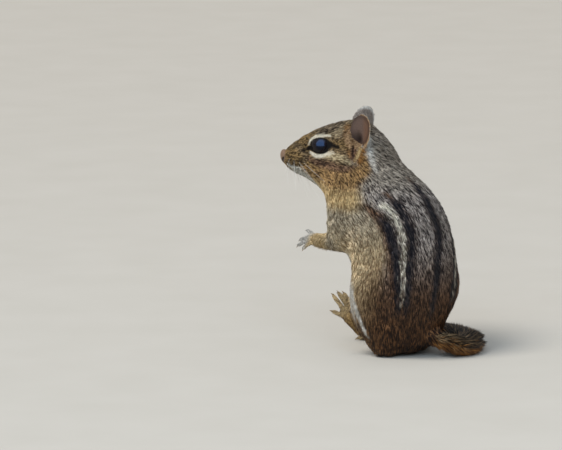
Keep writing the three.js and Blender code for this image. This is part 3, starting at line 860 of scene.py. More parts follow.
def paint_trunk(paint, height, side):
    """Lays the broad looks of the trunk and the stripes of the back on them."""
    chart = {"height": height, "side": side}
    for name, strength, bands in TRUNK_LOOKS:
        paint.lay(name, in_bands(np.full(len(side), strength), chart, bands))
    paint.lay("stripe_edge", 0.8 * stroke(height, side, in_girth(STRIPE_EDGE), 0.6))
    for rows in (MEDIAN, INNER_DARK, OUTER_DARK):
        top = rows[0][0]
        cover = stroke(height, side, in_girth(rows), 0.7)
        paint.lay("stripe_edge", cover)
        paint.lay("black_stripe", cover * ramp(top + 1, top - 4, height))
    paint.lay("white_stripe", stroke(height, side, in_girth(WHITE), 0.6))


def head_reach(place, kinds):
    """The head with its ears, and the same with the neck and trunk near it."""
    forward, _, up = on_head(place).T
    head = np.isin(kinds, (*HEAD_KINDS, "ear")).astype(float)
    beside = np.isin(kinds, ("neck", "trunk")) * ramp(-30, -22, forward) * ramp(-34, -26, up)
    return {"head": head, "near": np.maximum(head, beside)}


def paint_head(paint, place, kinds):
    """Lays the looks of the head."""
    forward, out, up = on_head(place).T
    chart = {"forward": forward, "out": out, "up": up, "aside": np.abs(out)}
    reach = head_reach(place, kinds)
    for name, strength, where, mark, bands in HEAD_LOOKS:
        cover = strength * reach[where]
        if mark:
            cover = cover * stroke(forward, up, *mark)
        paint.lay(name, in_bands(cover, chart, bands))


def paint_ears(paint, place, kinds, normal):
    """Lays the ears: grey backs with a thin white edge, orange roots, golden hair along the hollow's rim, and
    the lobe."""
    forward, out, up = on_head(place).T
    wide, tall, front = on_ear(place)
    ear = (kinds == "ear").astype(float)
    rim = bowl_rim(wide, tall)
    faces = ear_hollow(normal, out)
    reach = head_reach(place, kinds)
    paint.lay("ear_hair", ear)
    paint.lay("ear_orange", ear * ramp(-2, -5, tall))
    edge = ramp(0.74, 0.9, rim) * np.maximum(ramp(1.0, 3.5, wide), ramp(4, 7, tall))
    paint.lay("ear_white", ear * edge * ramp(0.4, -0.1, faces))
    rim_hair = ramp(0.76, 0.82, rim) * ramp(1.3, 1.1, rim) * ramp(-4, -2, front) * reach["head"]
    paint.lay("ear_rim", rim_hair * ramp(-0.12, 0.12, faces))
    for name, rows in EAR_LOBE:
        cover = reach["near"] * stroke(forward, up, rows, LOBE_SOFT)
        paint.lay(name, in_bands(cover, {"aside": np.abs(out)}, [BESIDE_MIDLINE]))


ARM_MIDDLE, ARM_EDGE = (15.6, 51), (8.5, 6)  # of the lower arms: out and height, and band of distances
ELBOW, WRIST, KNUCKLES = (-17, -23), (-22, -31), (-38.5, -42)  # bands along y
TOES = (19, 27)  # band of distances from the heel of a hind foot
BELLY_FACES, BELLY_BAND = (0.64, -0.77), (0.84, 1.0)  # way that the white faces, sideways and along y
MARGIN_FROM = 15  # how far to the left the white edge along the thigh lies


def paint_limbs(paint, place, kinds, normal):
    """Lays the legs, the feet and the white of the belly between the haunches."""
    x, y, height = place.T
    arm = ramp(*ARM_EDGE, np.hypot(np.abs(x) - ARM_MIDDLE[0], height - ARM_MIDDLE[1])) * (kinds != "head")
    paint.lay("shoulder", arm * ramp(*ELBOW, y))
    paint.lay("wrist", arm * ramp(*WRIST, y))
    paint.lay("wrist", (kinds == "forepaw").astype(float))
    paint.lay("finger", (kinds == "forepaw") * ramp(*KNUCKLES, y))
    hind = (kinds == "hind_foot").astype(float)
    paint.lay("foot", hind)
    for name in ("hind_foot_left", "hind_foot_right"):
        _, _, heel, way, _, side = FEET[name]
        along = (place - heel) @ unit(np.array(way, float))
        paint.lay("toe", hind * (x * side > 0) * ramp(*TOES, along))
    thigh = (kinds == "thigh").astype(float)
    inward = normal[:, 1] * BELLY_FACES[1] + np.abs(normal[:, 0]) * BELLY_FACES[0]
    low = ramp(37, 31, height) * ramp(1, 5, height)
    paint.lay("belly", np.maximum(thigh, kinds == "trunk") * ramp(*BELLY_BAND, inward) * low)
    paint.lay("belly", thigh * (x > MARGIN_FROM) * stroke(y, height, THIGH_MARGIN, 0.5))


UNDER_TAIL = (0.3, -0.5)  # band of the normal's height in which the tail turns rusty


def painted(place, kinds, normal, colours):
    """The looks of the coat at each place."""
    paint = Paint(len(place), colours)
    height, round_body = on_body(place)
    side = np.abs(round_body) + np.random.default_rng(3).normal(0, FUZZ, len(place))
    paint_trunk(paint, height, side)
    paint_head(paint, place, kinds)
    paint_ears(paint, place, kinds, normal)
    paint_limbs(paint, place, kinds, normal)
    tail = (kinds == "tail").astype(float)
    paint.lay("tail", tail)
    paint.lay("tail_under", tail * ramp(*UNDER_TAIL, normal[:, 2]))
    return paint.values


COAT_PIECES = [
    "face", "crown", "ears", "neck", "upper_back", "lower_back", "side_left", "side_right", "thighs", "legs",
    "tail",
]
PIECE_SLOTS = {
    "ears": "ear", "upper_back": "back", "lower_back": "back", "side_left": "flank", "side_right": "flank",
    "thighs": "flank", "legs": "foot",
}


FACE_FROM = -5  # how far forward on the head the face begins, behind which is the crown
BACK_HALF, LOWER_BACK = 25, 46  # half width of the back, and the height below which it is the lower back


def piece_numbers(place, kinds):
    """The number of the coat piece that each vertex's hair belongs to."""
    forward = on_head(place)[:, 0]
    height, round_body = on_body(place)
    head, trunk = np.isin(kinds, HEAD_KINDS), kinds == "trunk"
    on_back = trunk & (np.abs(round_body) <= BACK_HALF)
    number = np.full(len(place), COAT_PIECES.index("neck"))
    for piece, its in (
        ("face", head & (forward > FACE_FROM)),
        ("crown", head & (forward <= FACE_FROM)),
        ("ears", kinds == "ear"),
        ("upper_back", on_back),
        ("lower_back", on_back & (height < LOWER_BACK)),
        ("side_left", trunk & (round_body > BACK_HALF)),
        ("side_right", trunk & (round_body < -BACK_HALF)),
        ("thighs", kinds == "thigh"),
        ("legs", np.isin(kinds, ("foreleg", "forepaw", "hind_foot"))),
        ("tail", kinds == "tail"),
    ):
        number[its] = COAT_PIECES.index(piece)
    return number


# Tufts on each node, as a share of the density that is set
FULLNESS = {
    "head": 1.25, "ear": 1.0, "neck": 1.0, "trunk": 0.9, "thigh": 0.9, "foreleg": 1.1, "forepaw": 1.05,
    "hind_foot": 1.1, "tail": 0.85, "nose": 0.0, "eye": 0.6,
}
BARE_LID, LID_BEHIND = 0.9, 1.5  # how far outside the opening, and behind the eye's middle, the lids are bare
NOSE_CLEAR = 2.8  # how far from the nose pad's middle the coat is full, counted ahead of it
FACES_DOWN, NEAR_FLOOR = -0.75, 2.2  # height of the normal, and above the floor, below which there is no hair
BARE_BOWL, FACES_HOLLOW = 0.9, -0.1  # share of the hollow that is bare, and how far its skin faces out of it


def fullness(place, kinds, normal, eyes):
    """How full the coat is at each vertex, as a share of the density that is set."""
    full = np.array([FULLNESS[kind] for kind in kinds])
    for side in (1, -1):
        outside, front = eye_rim(side, place, eyes)
        full *= np.where((front > -LID_BEHIND) & (outside < BARE_LID), 0, 1)
    off_nose = on_head(place) - on_head(NOSE_MIDDLE) - (NOSE_BACK, 0, NOSE_RAISE)
    nose = np.linalg.norm(off_nose / NOSE_HALF, axis=1) * NOSE_HALF[0]
    full *= ramp(NOSE_HALF[0], NOSE_CLEAR, nose)
    full *= 1 - (normal[:, 2] < FACES_DOWN) * (place[:, 2] < NEAR_FLOOR)
    out = on_head(place)[:, 1]
    wide, tall, front = on_ear(place)
    hollow = (bowl_rim(wide, tall) < BARE_BOWL) & (np.abs(front) < EAR_DEPTH)
    hollow &= ear_hollow(normal, out) > FACES_HOLLOW
    full[hollow & np.isin(kinds, ("ear", "head", "neck"))] = 0
    return full


def smoothed_grid(sheet, kinds):
    """Places without the steps of the grid, which are smoothed most on the large round parts."""
    place = sheet.place
    rounds = np.array([ROUNDS.get(kind, FEW_ROUNDS) for kind in kinds])
    amount = sheet.smoothed(rounds.astype(float), ROUNDS_BLEND)
    for step in range(int(rounds.max())):
        for pull in (SHRINK, SWELL):
            share = np.clip(amount - step, 0, 1)[:, None] * pull
            place = place + (sheet.around(place) - place) * share
    return place


THIN_BLEND = 4  # rounds of smoothing from the thin parts, which hardly sink, to the others
KEEPS_GROWTH = 0.8  # share of the solids' growth that stays on the thin parts


def under_coat(sheet, kinds, length, rise, grown):
    """Places that lie under the surface by the depth of the coat and by what the solids have grown."""
    thin = sheet.smoothed(np.isin(kinds, tuple(THIN_PARTS)).astype(float), THIN_BLEND)
    depth = length * (np.sin(np.radians(rise)) + BOW) * (1 - thin) + grown / MM * (1 - KEEPS_GROWTH * thin)
    return sheet.place - sheet.normal * depth[:, None]


FINE_NOSE, FINE_EYE, FINE_EAR = 9, 7.2, (7.5, 11.5)  # half sizes of the zones with a finer mesh


def small_forms_at(place, kinds):
    """Where the skin has small forms: by the nose and the eyes, on the ears and on the feet."""
    wide, tall, front = on_ear(place)
    by_nose = np.linalg.norm(place - NOSE_MIDDLE, axis=1) < FINE_NOSE
    on_ears = (np.hypot(wide / FINE_EAR[0], tall / FINE_EAR[1]) < 1) & (np.abs(front) < EAR_DEPTH)
    by_eyes = [np.linalg.norm(place - eye, axis=1) < FINE_EYE for eye in EYE_MIDDLE.values()]
    return by_nose | on_ears | np.any(by_eyes, axis=0) | np.isin(kinds, ("forepaw", "hind_foot"))


EAR_EDGE, EAR_EDGE_ROUNDS = (0.8, 0.95), 3  # band of the ear's outline that is smoothed, and rounds of it
UNDER_NOSE, NOSE_SINK = 2.6, 0.7  # how far about the nose's middle the skin sinks back, and by how much
ABOVE_FLOOR = 0.15  # least height of the skin


def with_small_forms(sheet, kinds, eyes):
    """Places with the face, lids and ears shaped, under the nose pad and above the floor."""
    place = shape_ears(shape_lids(shape_face(sheet.place, sheet.normal), eyes), kinds)
    wide, tall, _ = on_ear(place)
    edge = ((kinds == "ear") * ramp(*EAR_EDGE, np.hypot(wide / EAR_HALF[0], tall / EAR_HALF[1])))[:, None]
    for _ in range(EAR_EDGE_ROUNDS):
        place = place + (sheet.around(place) - place) * 0.5 * edge
    under_nose = np.linalg.norm((place - NOSE_MIDDLE) / UNDER_NOSE, axis=1) < 1
    place[under_nose] -= HEAD_FORWARD * NOSE_SINK
    place[:, 2] = np.maximum(place[:, 2], ABOVE_FLOOR)
    return place


DRAWN_BLEND, DRAWN_ROUNDS = 3, 2  # rounds of smoothing where the thin parts are drawn out, and rounds there


def build_skin(settings, eyes):
    """The one skin over all flesh, with its hair's length and rise stored on it, and its vertices' kinds."""
    mesh, names, owners = grown_solids(settings.join)
    source = new_object("flesh", mesh)
    remesh = source.modifiers.new("Join", "REMESH")
    remesh.mode, remesh.voxel_size, remesh.adaptivity = "VOXEL", settings.voxel, 0
    skin = evaluated_mesh(source)
    skin.name = "skin"
    bpy.data.objects.remove(source)

    sheet = Sheet(skin)
    kinds = nearest_nodes(mesh, names, owners, sheet.place)
    move_vertices(skin, smoothed_grid(sheet, kinds))

    sheet = Sheet(skin)
    length, rise = (sheet.smoothed(values, HAIR_ROUNDS) for values in hair_of(kinds, sheet.place))
    place = under_coat(sheet, kinds, length, rise, settings.join)
    move_vertices(skin, place)
    put(skin, "coat_length", "FLOAT", length)
    put(skin, "rise", "FLOAT", rise)
    refine(skin, small_forms_at(place, kinds))

    sheet = Sheet(skin)
    kinds = nearest_nodes(mesh, names, owners, sheet.place)
    place = drawn_out(sheet.place.copy(), kinds)
    thin = sheet.smoothed(np.isin(kinds, tuple(THIN_PARTS)).astype(float), DRAWN_BLEND)[:, None]
    for _ in range(DRAWN_ROUNDS):
        place += (sheet.around(place) - place) * 0.5 * thin
    move_vertices(skin, place)
    move_vertices(skin, with_small_forms(Sheet(skin), kinds, eyes))
    return skin, kinds


LASH, LASH_GROWTH = 0.25, 0.5  # length of the hair at the rim of an eye, and its growth to a millimetre
LASH_REACH, LASH_BEHIND = 5, 1  # how far from the rim, and behind the eye's middle, this holds
LASH_LIES, LASH_BAND = 0.25, (0.5, 4)  # share of its rise at the rim, and band over which it gets it back
NORMAL_ROUNDS = 6  # of smoothing the normals that the hair stands on
SEEN_AT = 0.6  # share of a hair's length at which its colour is seen


def store_coat(skin, kinds, eyes, colours):
    """Stores on the skin what the coat and the materials read."""
    sheet = Sheet(skin)
    soft_normal = unit(sheet.smoothed(sheet.normal, NORMAL_ROUNDS))
    lie = lie_of_coat(sheet, skin, kinds)
    length = column(skin.attributes["coat_length"].data, "value")
    rise = column(skin.attributes["rise"].data, "value")
    for side in (1, -1):
        outside, front = eye_rim(side, sheet.place, eyes)
        by_eye = (front > -LASH_BEHIND) & (outside < LASH_REACH)
        lash = np.minimum(length, LASH + LASH_GROWTH * np.maximum(outside, 0))
        length = np.where(by_eye, lash, length)
        rise = np.where(by_eye, rise * (LASH_LIES + (1 - LASH_LIES) * ramp(*LASH_BAND, outside)), rise)
    put(skin, "coat_length", "FLOAT", length)
    put(skin, "lie", "FLOAT_VECTOR", lie)
    put(skin, "lift", "FLOAT_VECTOR", soft_normal * np.tan(np.radians(rise))[:, None])
    put(skin, "coat_share", "FLOAT", fullness(sheet.place, kinds, soft_normal, eyes))
    put(skin, "coat_piece", "INT", piece_numbers(sheet.place, kinds))
    seen = sheet.place + lie * (SEEN_AT * length)[:, None]
    looks = painted(seen, kinds, soft_normal, colours)
    opaque = np.ones((sheet.count, 1))
    put(skin, "hair_pale", "FLOAT_COLOR", np.concatenate([looks[:, :3], opaque], 1))
    put(skin, "hair_dark", "FLOAT_COLOR", np.concatenate([looks[:, 3:6], opaque], 1))
    put(skin, "dark_share", "FLOAT", looks[:, 6])
    put(skin, "hide", "FLOAT_COLOR", np.concatenate([hide_colours(sheet, kinds, colours, eyes), opaque], 1))


# Bare skin of the ears: the hollow, its browner hind part, and near-black painted shade under the rim and in
# the hole
HIDE_EAR, HIDE_EAR_BACK, EAR_HOLLOW_SHADE = "5a4941", "5e4536", "1b110e"
HIDE_LID, HIDE_MOUTH = "0a0807", "2a1a14"
HIDE_SHADE_LEVEL = 0.72  # how bright the hide is, as a share of the hair's mean colour; darker, as painted shade deep in the coat
BOWL_EDGE = (0.96, 0.91)  # band of the hollow's rim inside which its skin is seen
BOWL_SHADE, BOWL_SHADE_BAND = 0.45, (0.55, 0.86)  # painted shade in the hollow towards its rim: strength, and band of the way out to the rim
HOLE_SHADOW_MIDDLE, HOLE_SHADOW_HALF = (-2.4, -2.2), (2.2, 2.4)  # of the painted shadow in the ear's hole: across and up
LID_EDGE_BAND = (1.0, 0.7)  # distances outside the opening between which the lids turn black


def tinted(hide, code, *covers):
    """Colours with an sRGB hex value laid over them where every cover reaches."""
    change = np.array(linear(code)) - hide
    for cover in covers:
        change = change * np.reshape(cover, (-1, 1))
    return hide + change


def hide_colours(sheet, kinds, colours, eyes):
    """The skin's colours: the coat's mean colour darkened as painted shade deep in the coat, bare in the ears
    with painted shade in their hollows, black on the lids, dark in the mouth.
    """
    looks = painted(sheet.place, kinds, sheet.normal, colours)
    share = looks[:, 6:7]
    # The hair's mean colour, darkened as painted shade deep in the coat
    hide = (looks[:, :3] * (1 - share) + looks[:, 3:6] * share) * HIDE_SHADE_LEVEL
    out = on_head(sheet.place)[:, 1]
    wide, tall, front = on_ear(sheet.place)
    rim = bowl_rim(wide, tall)
    bare = ramp(*BOWL_EDGE, rim) * (np.abs(front) < EAR_DEPTH)
    bare = bare * ramp(-0.4, 0.0, ear_hollow(sheet.normal, out))
    hide = tinted(hide, HIDE_EAR, bare)
    hide = tinted(hide, HIDE_EAR_BACK, bare, ramp(-0.5, 3.5, wide))
    # Painted shade in the hollow towards its rim, and a painted shadow in the ear's hole
    hide = tinted(hide, EAR_HOLLOW_SHADE, bare, BOWL_SHADE, ramp(*BOWL_SHADE_BAND, rim))
    hide = tinted(hide, EAR_HOLLOW_SHADE, bare * mound(wide, tall, HOLE_SHADOW_MIDDLE, HOLE_SHADOW_HALF))
    for side in (1, -1):
        outside, front = eye_rim(side, sheet.place, eyes)
        hide = tinted(hide, HIDE_LID, ramp(*LID_EDGE_BAND, outside) * (front > -LID_BEHIND))
    return tinted(hide, HIDE_MOUTH, mouth_line(sheet.place)[0])


def unwrap(obj):
    """Unwraps the skin's own shape into the map that the coat's patches lie on."""
    bpy.context.view_layer.objects.active = obj
    obj.select_set(True)
    obj.data.uv_layers.new(name="OFBake")
    bpy.ops.object.mode_set(mode="EDIT")
    bpy.ops.mesh.select_all(action="SELECT")
    bpy.ops.uv.smart_project(angle_limit=math.radians(70), island_margin=0.001)
    bpy.ops.object.mode_set(mode="OBJECT")
    obj.select_set(False)


# Materials


def material(name):
    """A new material with its Principled shader and tree."""
    made = bpy.data.materials.new(name)
    made.use_nodes = True
    return made, made.node_tree, made.node_tree.nodes["Principled BSDF"]


def between(tree, share, low, high):
    """The colour that a share mixes from two, each an sRGB hex value or a socket."""
    ends = [(*linear(end), 1) if isinstance(end, str) else end for end in (low, high)]
    mixed = add(tree, "ShaderNodeMix", {0: share, 6: ends[0], 7: ends[1]}, data_type="RGBA")
    return mixed.outputs[2]


def toned(tree, share, stops):
    """The colour at a share of the way along a row of stops, each a place and a colour."""
    row = add(tree, "ShaderNodeValToRGB", {"Fac": share})
    elements = row.color_ramp.elements
    for element, (position, colour) in zip(elements, (stops[0], stops[-1])):
        element.position, element.color = position, colour
    for position, colour in stops[1:-1]:
        elements.new(position).color = colour
    return row.outputs["Color"]


def by_place(tree, kind, size, **inputs):
    """A texture over the surface, of forms this many millimetres across."""
    where = add(tree, "ShaderNodeTexCoord")
    return add(tree, kind, {"Vector": where.outputs["Object"], "Scale": 1 / (size * MM), **inputs}).outputs


def scaled(tree, vector, factor):
    """A vector or a colour times a factor."""
    return add(tree, "ShaderNodeVectorMath", {0: vector, "Scale": factor}, operation="SCALE").outputs[0]


def reckon(tree, operation, *values):
    """The result of an operation on values or sockets."""
    return add(tree, "ShaderNodeMath", dict(enumerate(values)), operation=operation).outputs[0]


def furred_hide():
    """Hide under hair: dull, a little waxy, with a grain of hair roots about half a millimetre across."""
    made, tree, shader = material("Furred hide")
    shader.inputs["Roughness"].default_value = 0.62
    shader.inputs["Specular IOR Level"].default_value = 0.3
    hide = add(tree, "ShaderNodeAttribute", attribute_name="hide")
    grain = by_place(tree, "ShaderNodeTexNoise", 0.55, Detail=2)["Fac"]
    tint = add(tree, "ShaderNodeMapRange", {"Value": grain, "To Min": 0.65, "To Max": 1.35})
    colour = scaled(tree, hide.outputs["Color"], tint.outputs["Result"])
    tree.links.new(colour, shader.inputs["Base Color"])
    bump = add(tree, "ShaderNodeBump", {"Height": grain, "Distance": 0.12 * MM, "Strength": 0.6})
    tree.links.new(bump.outputs["Normal"], shader.inputs["Normal"])
    return made


# How pale a hair is along its length: share of the length, and paleness
HAIR_BAND = [(0.0, 0.25), (0.3, 0.8), (0.55, 1.0), (0.82, 0.95), (1.0, 0.45)]


def guard_hair():
    """Hair, which is keratin: soft gloss, dusky root, pale band, dark tip, and some hairs dark all along."""
    made, tree, shader = material("Guard hair")
    shader.inputs["Roughness"].default_value = 0.55
    shader.inputs["Specular IOR Level"].default_value = 0.35
    pale, dark, share, along, shade = (
        add(tree, "ShaderNodeAttribute", attribute_name=name).outputs
        for name in ("hair_pale", "hair_dark", "dark_share", "along", "shade")
    )
    kept = reckon(tree, "SUBTRACT", shade["Fac"], share["Fac"])
    light = add(tree, "ShaderNodeMapRange", {"Value": kept, "From Min": -0.1, "From Max": 0.12})
    band = toned(tree, along["Fac"], [(position, (level, level, level, 1)) for position, level in HAIR_BAND])
    paleness = reckon(tree, "MULTIPLY", light.outputs["Result"], band)
    mixed = between(tree, paleness, dark["Color"], pale["Color"])
    patchy = by_place(tree, "ShaderNodeTexNoise", 5, Detail=1)["Fac"]
    tone = add(tree, "ShaderNodeMapRange", {"Value": patchy, "To Min": 0.8, "To Max": 1.2})
    tree.links.new(scaled(tree, mixed, tone.outputs["Result"]), shader.inputs["Base Color"])
    return made


# The pupil, its edge and the iris: share of the way out to where the iris ends
EYE_TONES = [(0.42, "050405"), (0.55, "140b07"), (0.8, "120b07")]


def eye_glass():
    """Blown glass eye: black pupil in an iris nearly as dark, with a soft damp sheen."""
    made, tree, shader = material("Eye glass")
    shader.inputs["Roughness"].default_value = 0.2
    shader.inputs["Specular IOR Level"].default_value = 0.16
    iris = add(tree, "ShaderNodeAttribute", attribute_name="iris")
    tone = toned(tree, iris.outputs["Fac"], [(position, (*linear(code), 1)) for position, code in EYE_TONES])
    tree.links.new(tone, shader.inputs["Base Color"])
    return made


def nose_leather():
    """Bare nose skin: fine wet pebbling about 0.3 mm across, a dull pinkish brown, with painted shade in the
    nostrils and the groove.
    """
    made, tree, shader = material("Nose leather")
    shader.inputs["Roughness"].default_value = 0.42
    pebble = by_place(tree, "ShaderNodeTexVoronoi", 0.3)["Distance"]
    # Painted shade in the nostrils and the groove
    depth = add(tree, "ShaderNodeAttribute", attribute_name="nostril")
    base = between(tree, pebble, "8f7560", "5a4536")
    dark = between(tree, depth.outputs["Fac"], base, "120a08")
    tree.links.new(dark, shader.inputs["Base Color"])
    bump = add(tree, "ShaderNodeBump", {"Height": pebble, "Distance": 0.06 * MM, "Strength": 0.7})
    tree.links.new(bump.outputs["Normal"], shader.inputs["Normal"])
    return made


def along_keratin(name, roughness, root, tip):
    """A material of one colour at the root and another at the tip."""
    made, tree, shader = material(name)
    shader.inputs["Roughness"].default_value = roughness
    along = add(tree, "ShaderNodeAttribute", attribute_name="along")
    tree.links.new(between(tree, along.outputs["Fac"], root, tip), shader.inputs["Base Color"])
    return made


def claw_horn():
    """Horn: smooth, brown at the root and clearer at the point."""
    return along_keratin("Claw horn", 0.35, "4a3828", "a08a6c")


def whisker_hair():
    """Whiskers: stiff smooth keratin, dark at the root and pale at the tip."""
    return along_keratin("Whisker hair", 0.4, "7d766a", "f0ede6")


def floor_plaster():
    """Matt painted plaster: pale, with a cloudiness some 40 mm across that hardly shows."""
    made, tree, shader = material("Floor plaster")
    shader.inputs["Roughness"].default_value = 0.85
    cloud = by_place(tree, "ShaderNodeTexNoise", 40, Detail=3)["Fac"]
    tree.links.new(between(tree, cloud, "bfbbb2", "c7c3bb"), shader.inputs["Base Color"])
    return made


# Coat

LOCK_SHARE = 0.66  # of a tuft's shade that its lock gives
LOCKS_LENGTH = 4.0  # length of hair at which the locks are as dense as is set
LOCKS_POWER = 0.4  # locks of shorter hair are denser by this power of how much shorter it is
NARROWEST, WIDER = 0.13, 0.036  # width of the shortest tuft, and its growth to a millimetre of length
UNEVEN = (0.75, 1.15)  # least and greatest length of a tuft, as shares of the coat's
ROOT_UNDER = 0.03  # how far a tuft's root is under the skin, as a share of its length
THICKNESS = 0.03  # of a tuft, as a share of its length
WIDEST = 0.36  # how far along it a tuft is widest
PATCH = 0.003  # side of a tuft's patch on the skin's map
PIECE_LIMIT = 200_000  # triangles
FLOOR_GAP = 0.05  # least height of hair and claws
# Attributes that nothing reads on the coat
SPARE = ("lie", "lift", "patch", "coat_length", "coat_share", "coat_piece", "rise", "hide")


def tuft_mesh():
    """One tuft, 1 long and 1 wide: a closed three-sided spindle that bows outwards, rooted in the skin."""
    places = [
        (0, -ROOT_UNDER, -ROOT_UNDER),
        (-0.5, BOW, WIDEST),
        (0.5, BOW, WIDEST),
        (0, BOW + THICKNESS, WIDEST),
        (0, 0, 1),
    ]
    faces = [(0, 1, 2), (0, 3, 1), (0, 2, 3), (4, 2, 1), (4, 1, 3), (4, 3, 2)]
    mesh = bpy.data.meshes.new("tuft")
    mesh.from_pydata(places, [], faces)
    work = bmesh.new()
    work.from_mesh(mesh)
    bmesh.ops.recalc_face_normals(work, faces=work.faces)
    work.to_mesh(mesh)
    work.free()
    put(mesh, "along", "FLOAT", [max(z, 0) for _, _, z in places])
    put(mesh, "patch", "FLOAT_VECTOR", [(x, z - 0.5, 0) for x, _, z in places])
    return mesh


TUFT_INPUTS = {
    "Tuft": "NodeSocketObject", "Piece": "NodeSocketInt", "Density": "NodeSocketFloat",
    "Spread": "NodeSocketFloat", "Locks": "NodeSocketFloat", "Pull": "NodeSocketFloat",
    "Patch": "NodeSocketFloat", "Seed": "NodeSocketInt", "Material": "NodeSocketMaterial",
}


def stored(tree, name, kind="FLOAT"):
    """An attribute of the mesh."""
    return add(tree, "GeometryNodeInputNamedAttribute", {"Name": name}, data_type=kind).outputs[0]


def store(tree, points, name, value, kind, **inputs):
    """Points with a value stored on each."""
    return add(
        tree, "GeometryNodeStoreNamedAttribute",
        {"Geometry": points, "Name": name, "Value": value, **inputs}, data_type=kind, domain="POINT",
    ).outputs[0]


def combined(tree, operation, first, second):
    """The result of an operation on two vectors."""
    return add(tree, "ShaderNodeVectorMath", {0: first, 1: second}, operation=operation).outputs[0]


def scattered(tree, surface, density, **inputs):
    """Points spread at random over a surface."""
    return add(
        tree, "GeometryNodeDistributePointsOnFaces",
        {"Mesh": surface, "Density": density, **inputs}, distribute_method="RANDOM",
    ).outputs["Points"]


def locked_roots(tree, given, length):
    """The roots of one piece's tufts, each with a shade and most with the looks of their lock, then the
    middle of each one's lock and its own place."""
    place = add(tree, "GeometryNodeInputPosition").outputs[0]
    mine = add(
        tree, "FunctionNodeCompare", {2: stored(tree, "coat_piece", "INT"), 3: given["Piece"]},
        data_type="INT", operation="EQUAL",
    ).outputs[0]
    density = reckon(tree, "MULTIPLY", given["Density"], stored(tree, "coat_share"))
    roots = scattered(tree, given["Geometry"], density, Selection=mine, Seed=given["Seed"])
    finer = reckon(tree, "POWER", reckon(tree, "DIVIDE", LOCKS_LENGTH, length), LOCKS_POWER)
    locks = scattered(tree, given["Geometry"], reckon(tree, "MULTIPLY", given["Locks"], finer), Seed=1)
    nearest = add(
        tree, "GeometryNodeSampleNearest", {"Geometry": locks, "Sample Position": place}, domain="POINT"
    ).outputs[0]

    def at_lock(value, kind):
        return add(
            tree, "GeometryNodeSampleIndex", {"Geometry": locks, "Value": value, "Index": nearest},
            data_type=kind, domain="POINT",
        ).outputs[0]

    own, chance = (
        add(tree, "FunctionNodeRandomValue", {"Seed": seed}, data_type="FLOAT").outputs[1] for seed in (3, 2)
    )
    shared = at_lock(chance, "FLOAT")
    shade = add(tree, "ShaderNodeMix", {0: LOCK_SHARE, 2: own, 3: shared}, data_type="FLOAT")
    roots = store(tree, roots, "shade", shade.outputs[0], "FLOAT")
    stray = add(tree, "FunctionNodeRandomValue", {6: 1.0 - LOCK_SHARE, "Seed": 4}, data_type="BOOLEAN")
    with_lock = add(tree, "FunctionNodeBooleanMath", {0: stray.outputs[3]}, operation="NOT").outputs[0]
    looks = {"hair_pale": "FLOAT_COLOR", "hair_dark": "FLOAT_COLOR", "dark_share": "FLOAT"}
    at_locks = {name: at_lock(stored(tree, name, kind), kind) for name, kind in looks.items()}
    for name, kind in looks.items():
        roots = store(tree, roots, name, at_locks[name], kind, Selection=with_lock)
    return roots, at_lock(place, "FLOAT_VECTOR"), place


def coat_tree():
    """Nodes that set tufts on one piece of the skin, along the lie of the coat."""
    tree = bpy.data.node_groups.new("Coat tufts", "GeometryNodeTree")
    tree.interface.new_socket("Geometry", in_out="INPUT", socket_type="NodeSocketGeometry")
    for name, kind in TUFT_INPUTS.items():
        tree.interface.new_socket(name, in_out="INPUT", socket_type=kind)
    tree.interface.new_socket("Geometry", in_out="OUTPUT", socket_type="NodeSocketGeometry")
    given = add(tree, "NodeGroupInput").outputs
    lie, lift, patch, root = (
        stored(tree, name, "FLOAT_VECTOR") for name in ("lie", "lift", "patch", "OFBake")
    )
    length = stored(tree, "coat_length")
    roots, centre, place = locked_roots(tree, given, length)

    # They lie with the coat, towards the tip of their lock, each a little astray
    uneven = add(tree, "FunctionNodeRandomValue", {2: UNEVEN[0], 3: UNEVEN[1], "Seed": 7}, data_type="FLOAT")
    metres = reckon(tree, "MULTIPLY", reckon(tree, "MULTIPLY", length, uneven.outputs[1]), MM)
    aside = combined(tree, "SUBTRACT", centre, place)
    drawn = scaled(tree, aside, reckon(tree, "DIVIDE", given["Pull"], metres))
    stray = add(
        tree, "FunctionNodeRandomValue", {0: (-1.0, -1.0, -1.0), 1: (1.0, 1.0, 1.0), "Seed": 5},
        data_type="FLOAT_VECTOR",
    )
    way = lie
    for part in (lift, drawn, scaled(tree, stray.outputs[0], given["Spread"])):
        way = combined(tree, "ADD", way, part)
    along = add(tree, "FunctionNodeAlignRotationToVector", {"Vector": way}, axis="Z")
    turned = add(
        tree, "FunctionNodeAlignRotationToVector", {"Rotation": along.outputs[0], "Vector": lift},
        axis="Y", pivot_axis="Z",
    )
    wide = reckon(tree, "MULTIPLY_ADD", metres, WIDER, NARROWEST * MM)
    size = add(tree, "ShaderNodeCombineXYZ", {"X": wide, "Y": metres, "Z": metres})
    shape = add(tree, "GeometryNodeObjectInfo", {"Object": given["Tuft"]}, transform_space="ORIGINAL")
    set_out = add(
        tree, "GeometryNodeInstanceOnPoints",
        {
            "Points": roots, "Instance": shape.outputs["Geometry"], "Rotation": turned.outputs[0],
            "Scale": size.outputs[0],
        },
    )
    real = add(tree, "GeometryNodeRealizeInstances", {"Geometry": set_out.outputs[0]})
    soft = add(tree, "GeometryNodeSetShadeSmooth", {"Geometry": real.outputs[0]})
    # Each tuft's patch lies on the skin's map where its root is
    spot = combined(tree, "ADD", root, scaled(tree, patch, given["Patch"]))
    mapped = add(
        tree, "GeometryNodeStoreNamedAttribute",
        {"Geometry": soft.outputs[0], "Name": "OFBake", "Value": spot}, data_type="FLOAT2", domain="CORNER",
    )
    dressed = add(
        tree, "GeometryNodeSetMaterial", {"Geometry": mapped.outputs[0], "Material": given["Material"]}
    )
    add(tree, "NodeGroupOutput", {"Geometry": dressed.outputs[0]})
    return tree


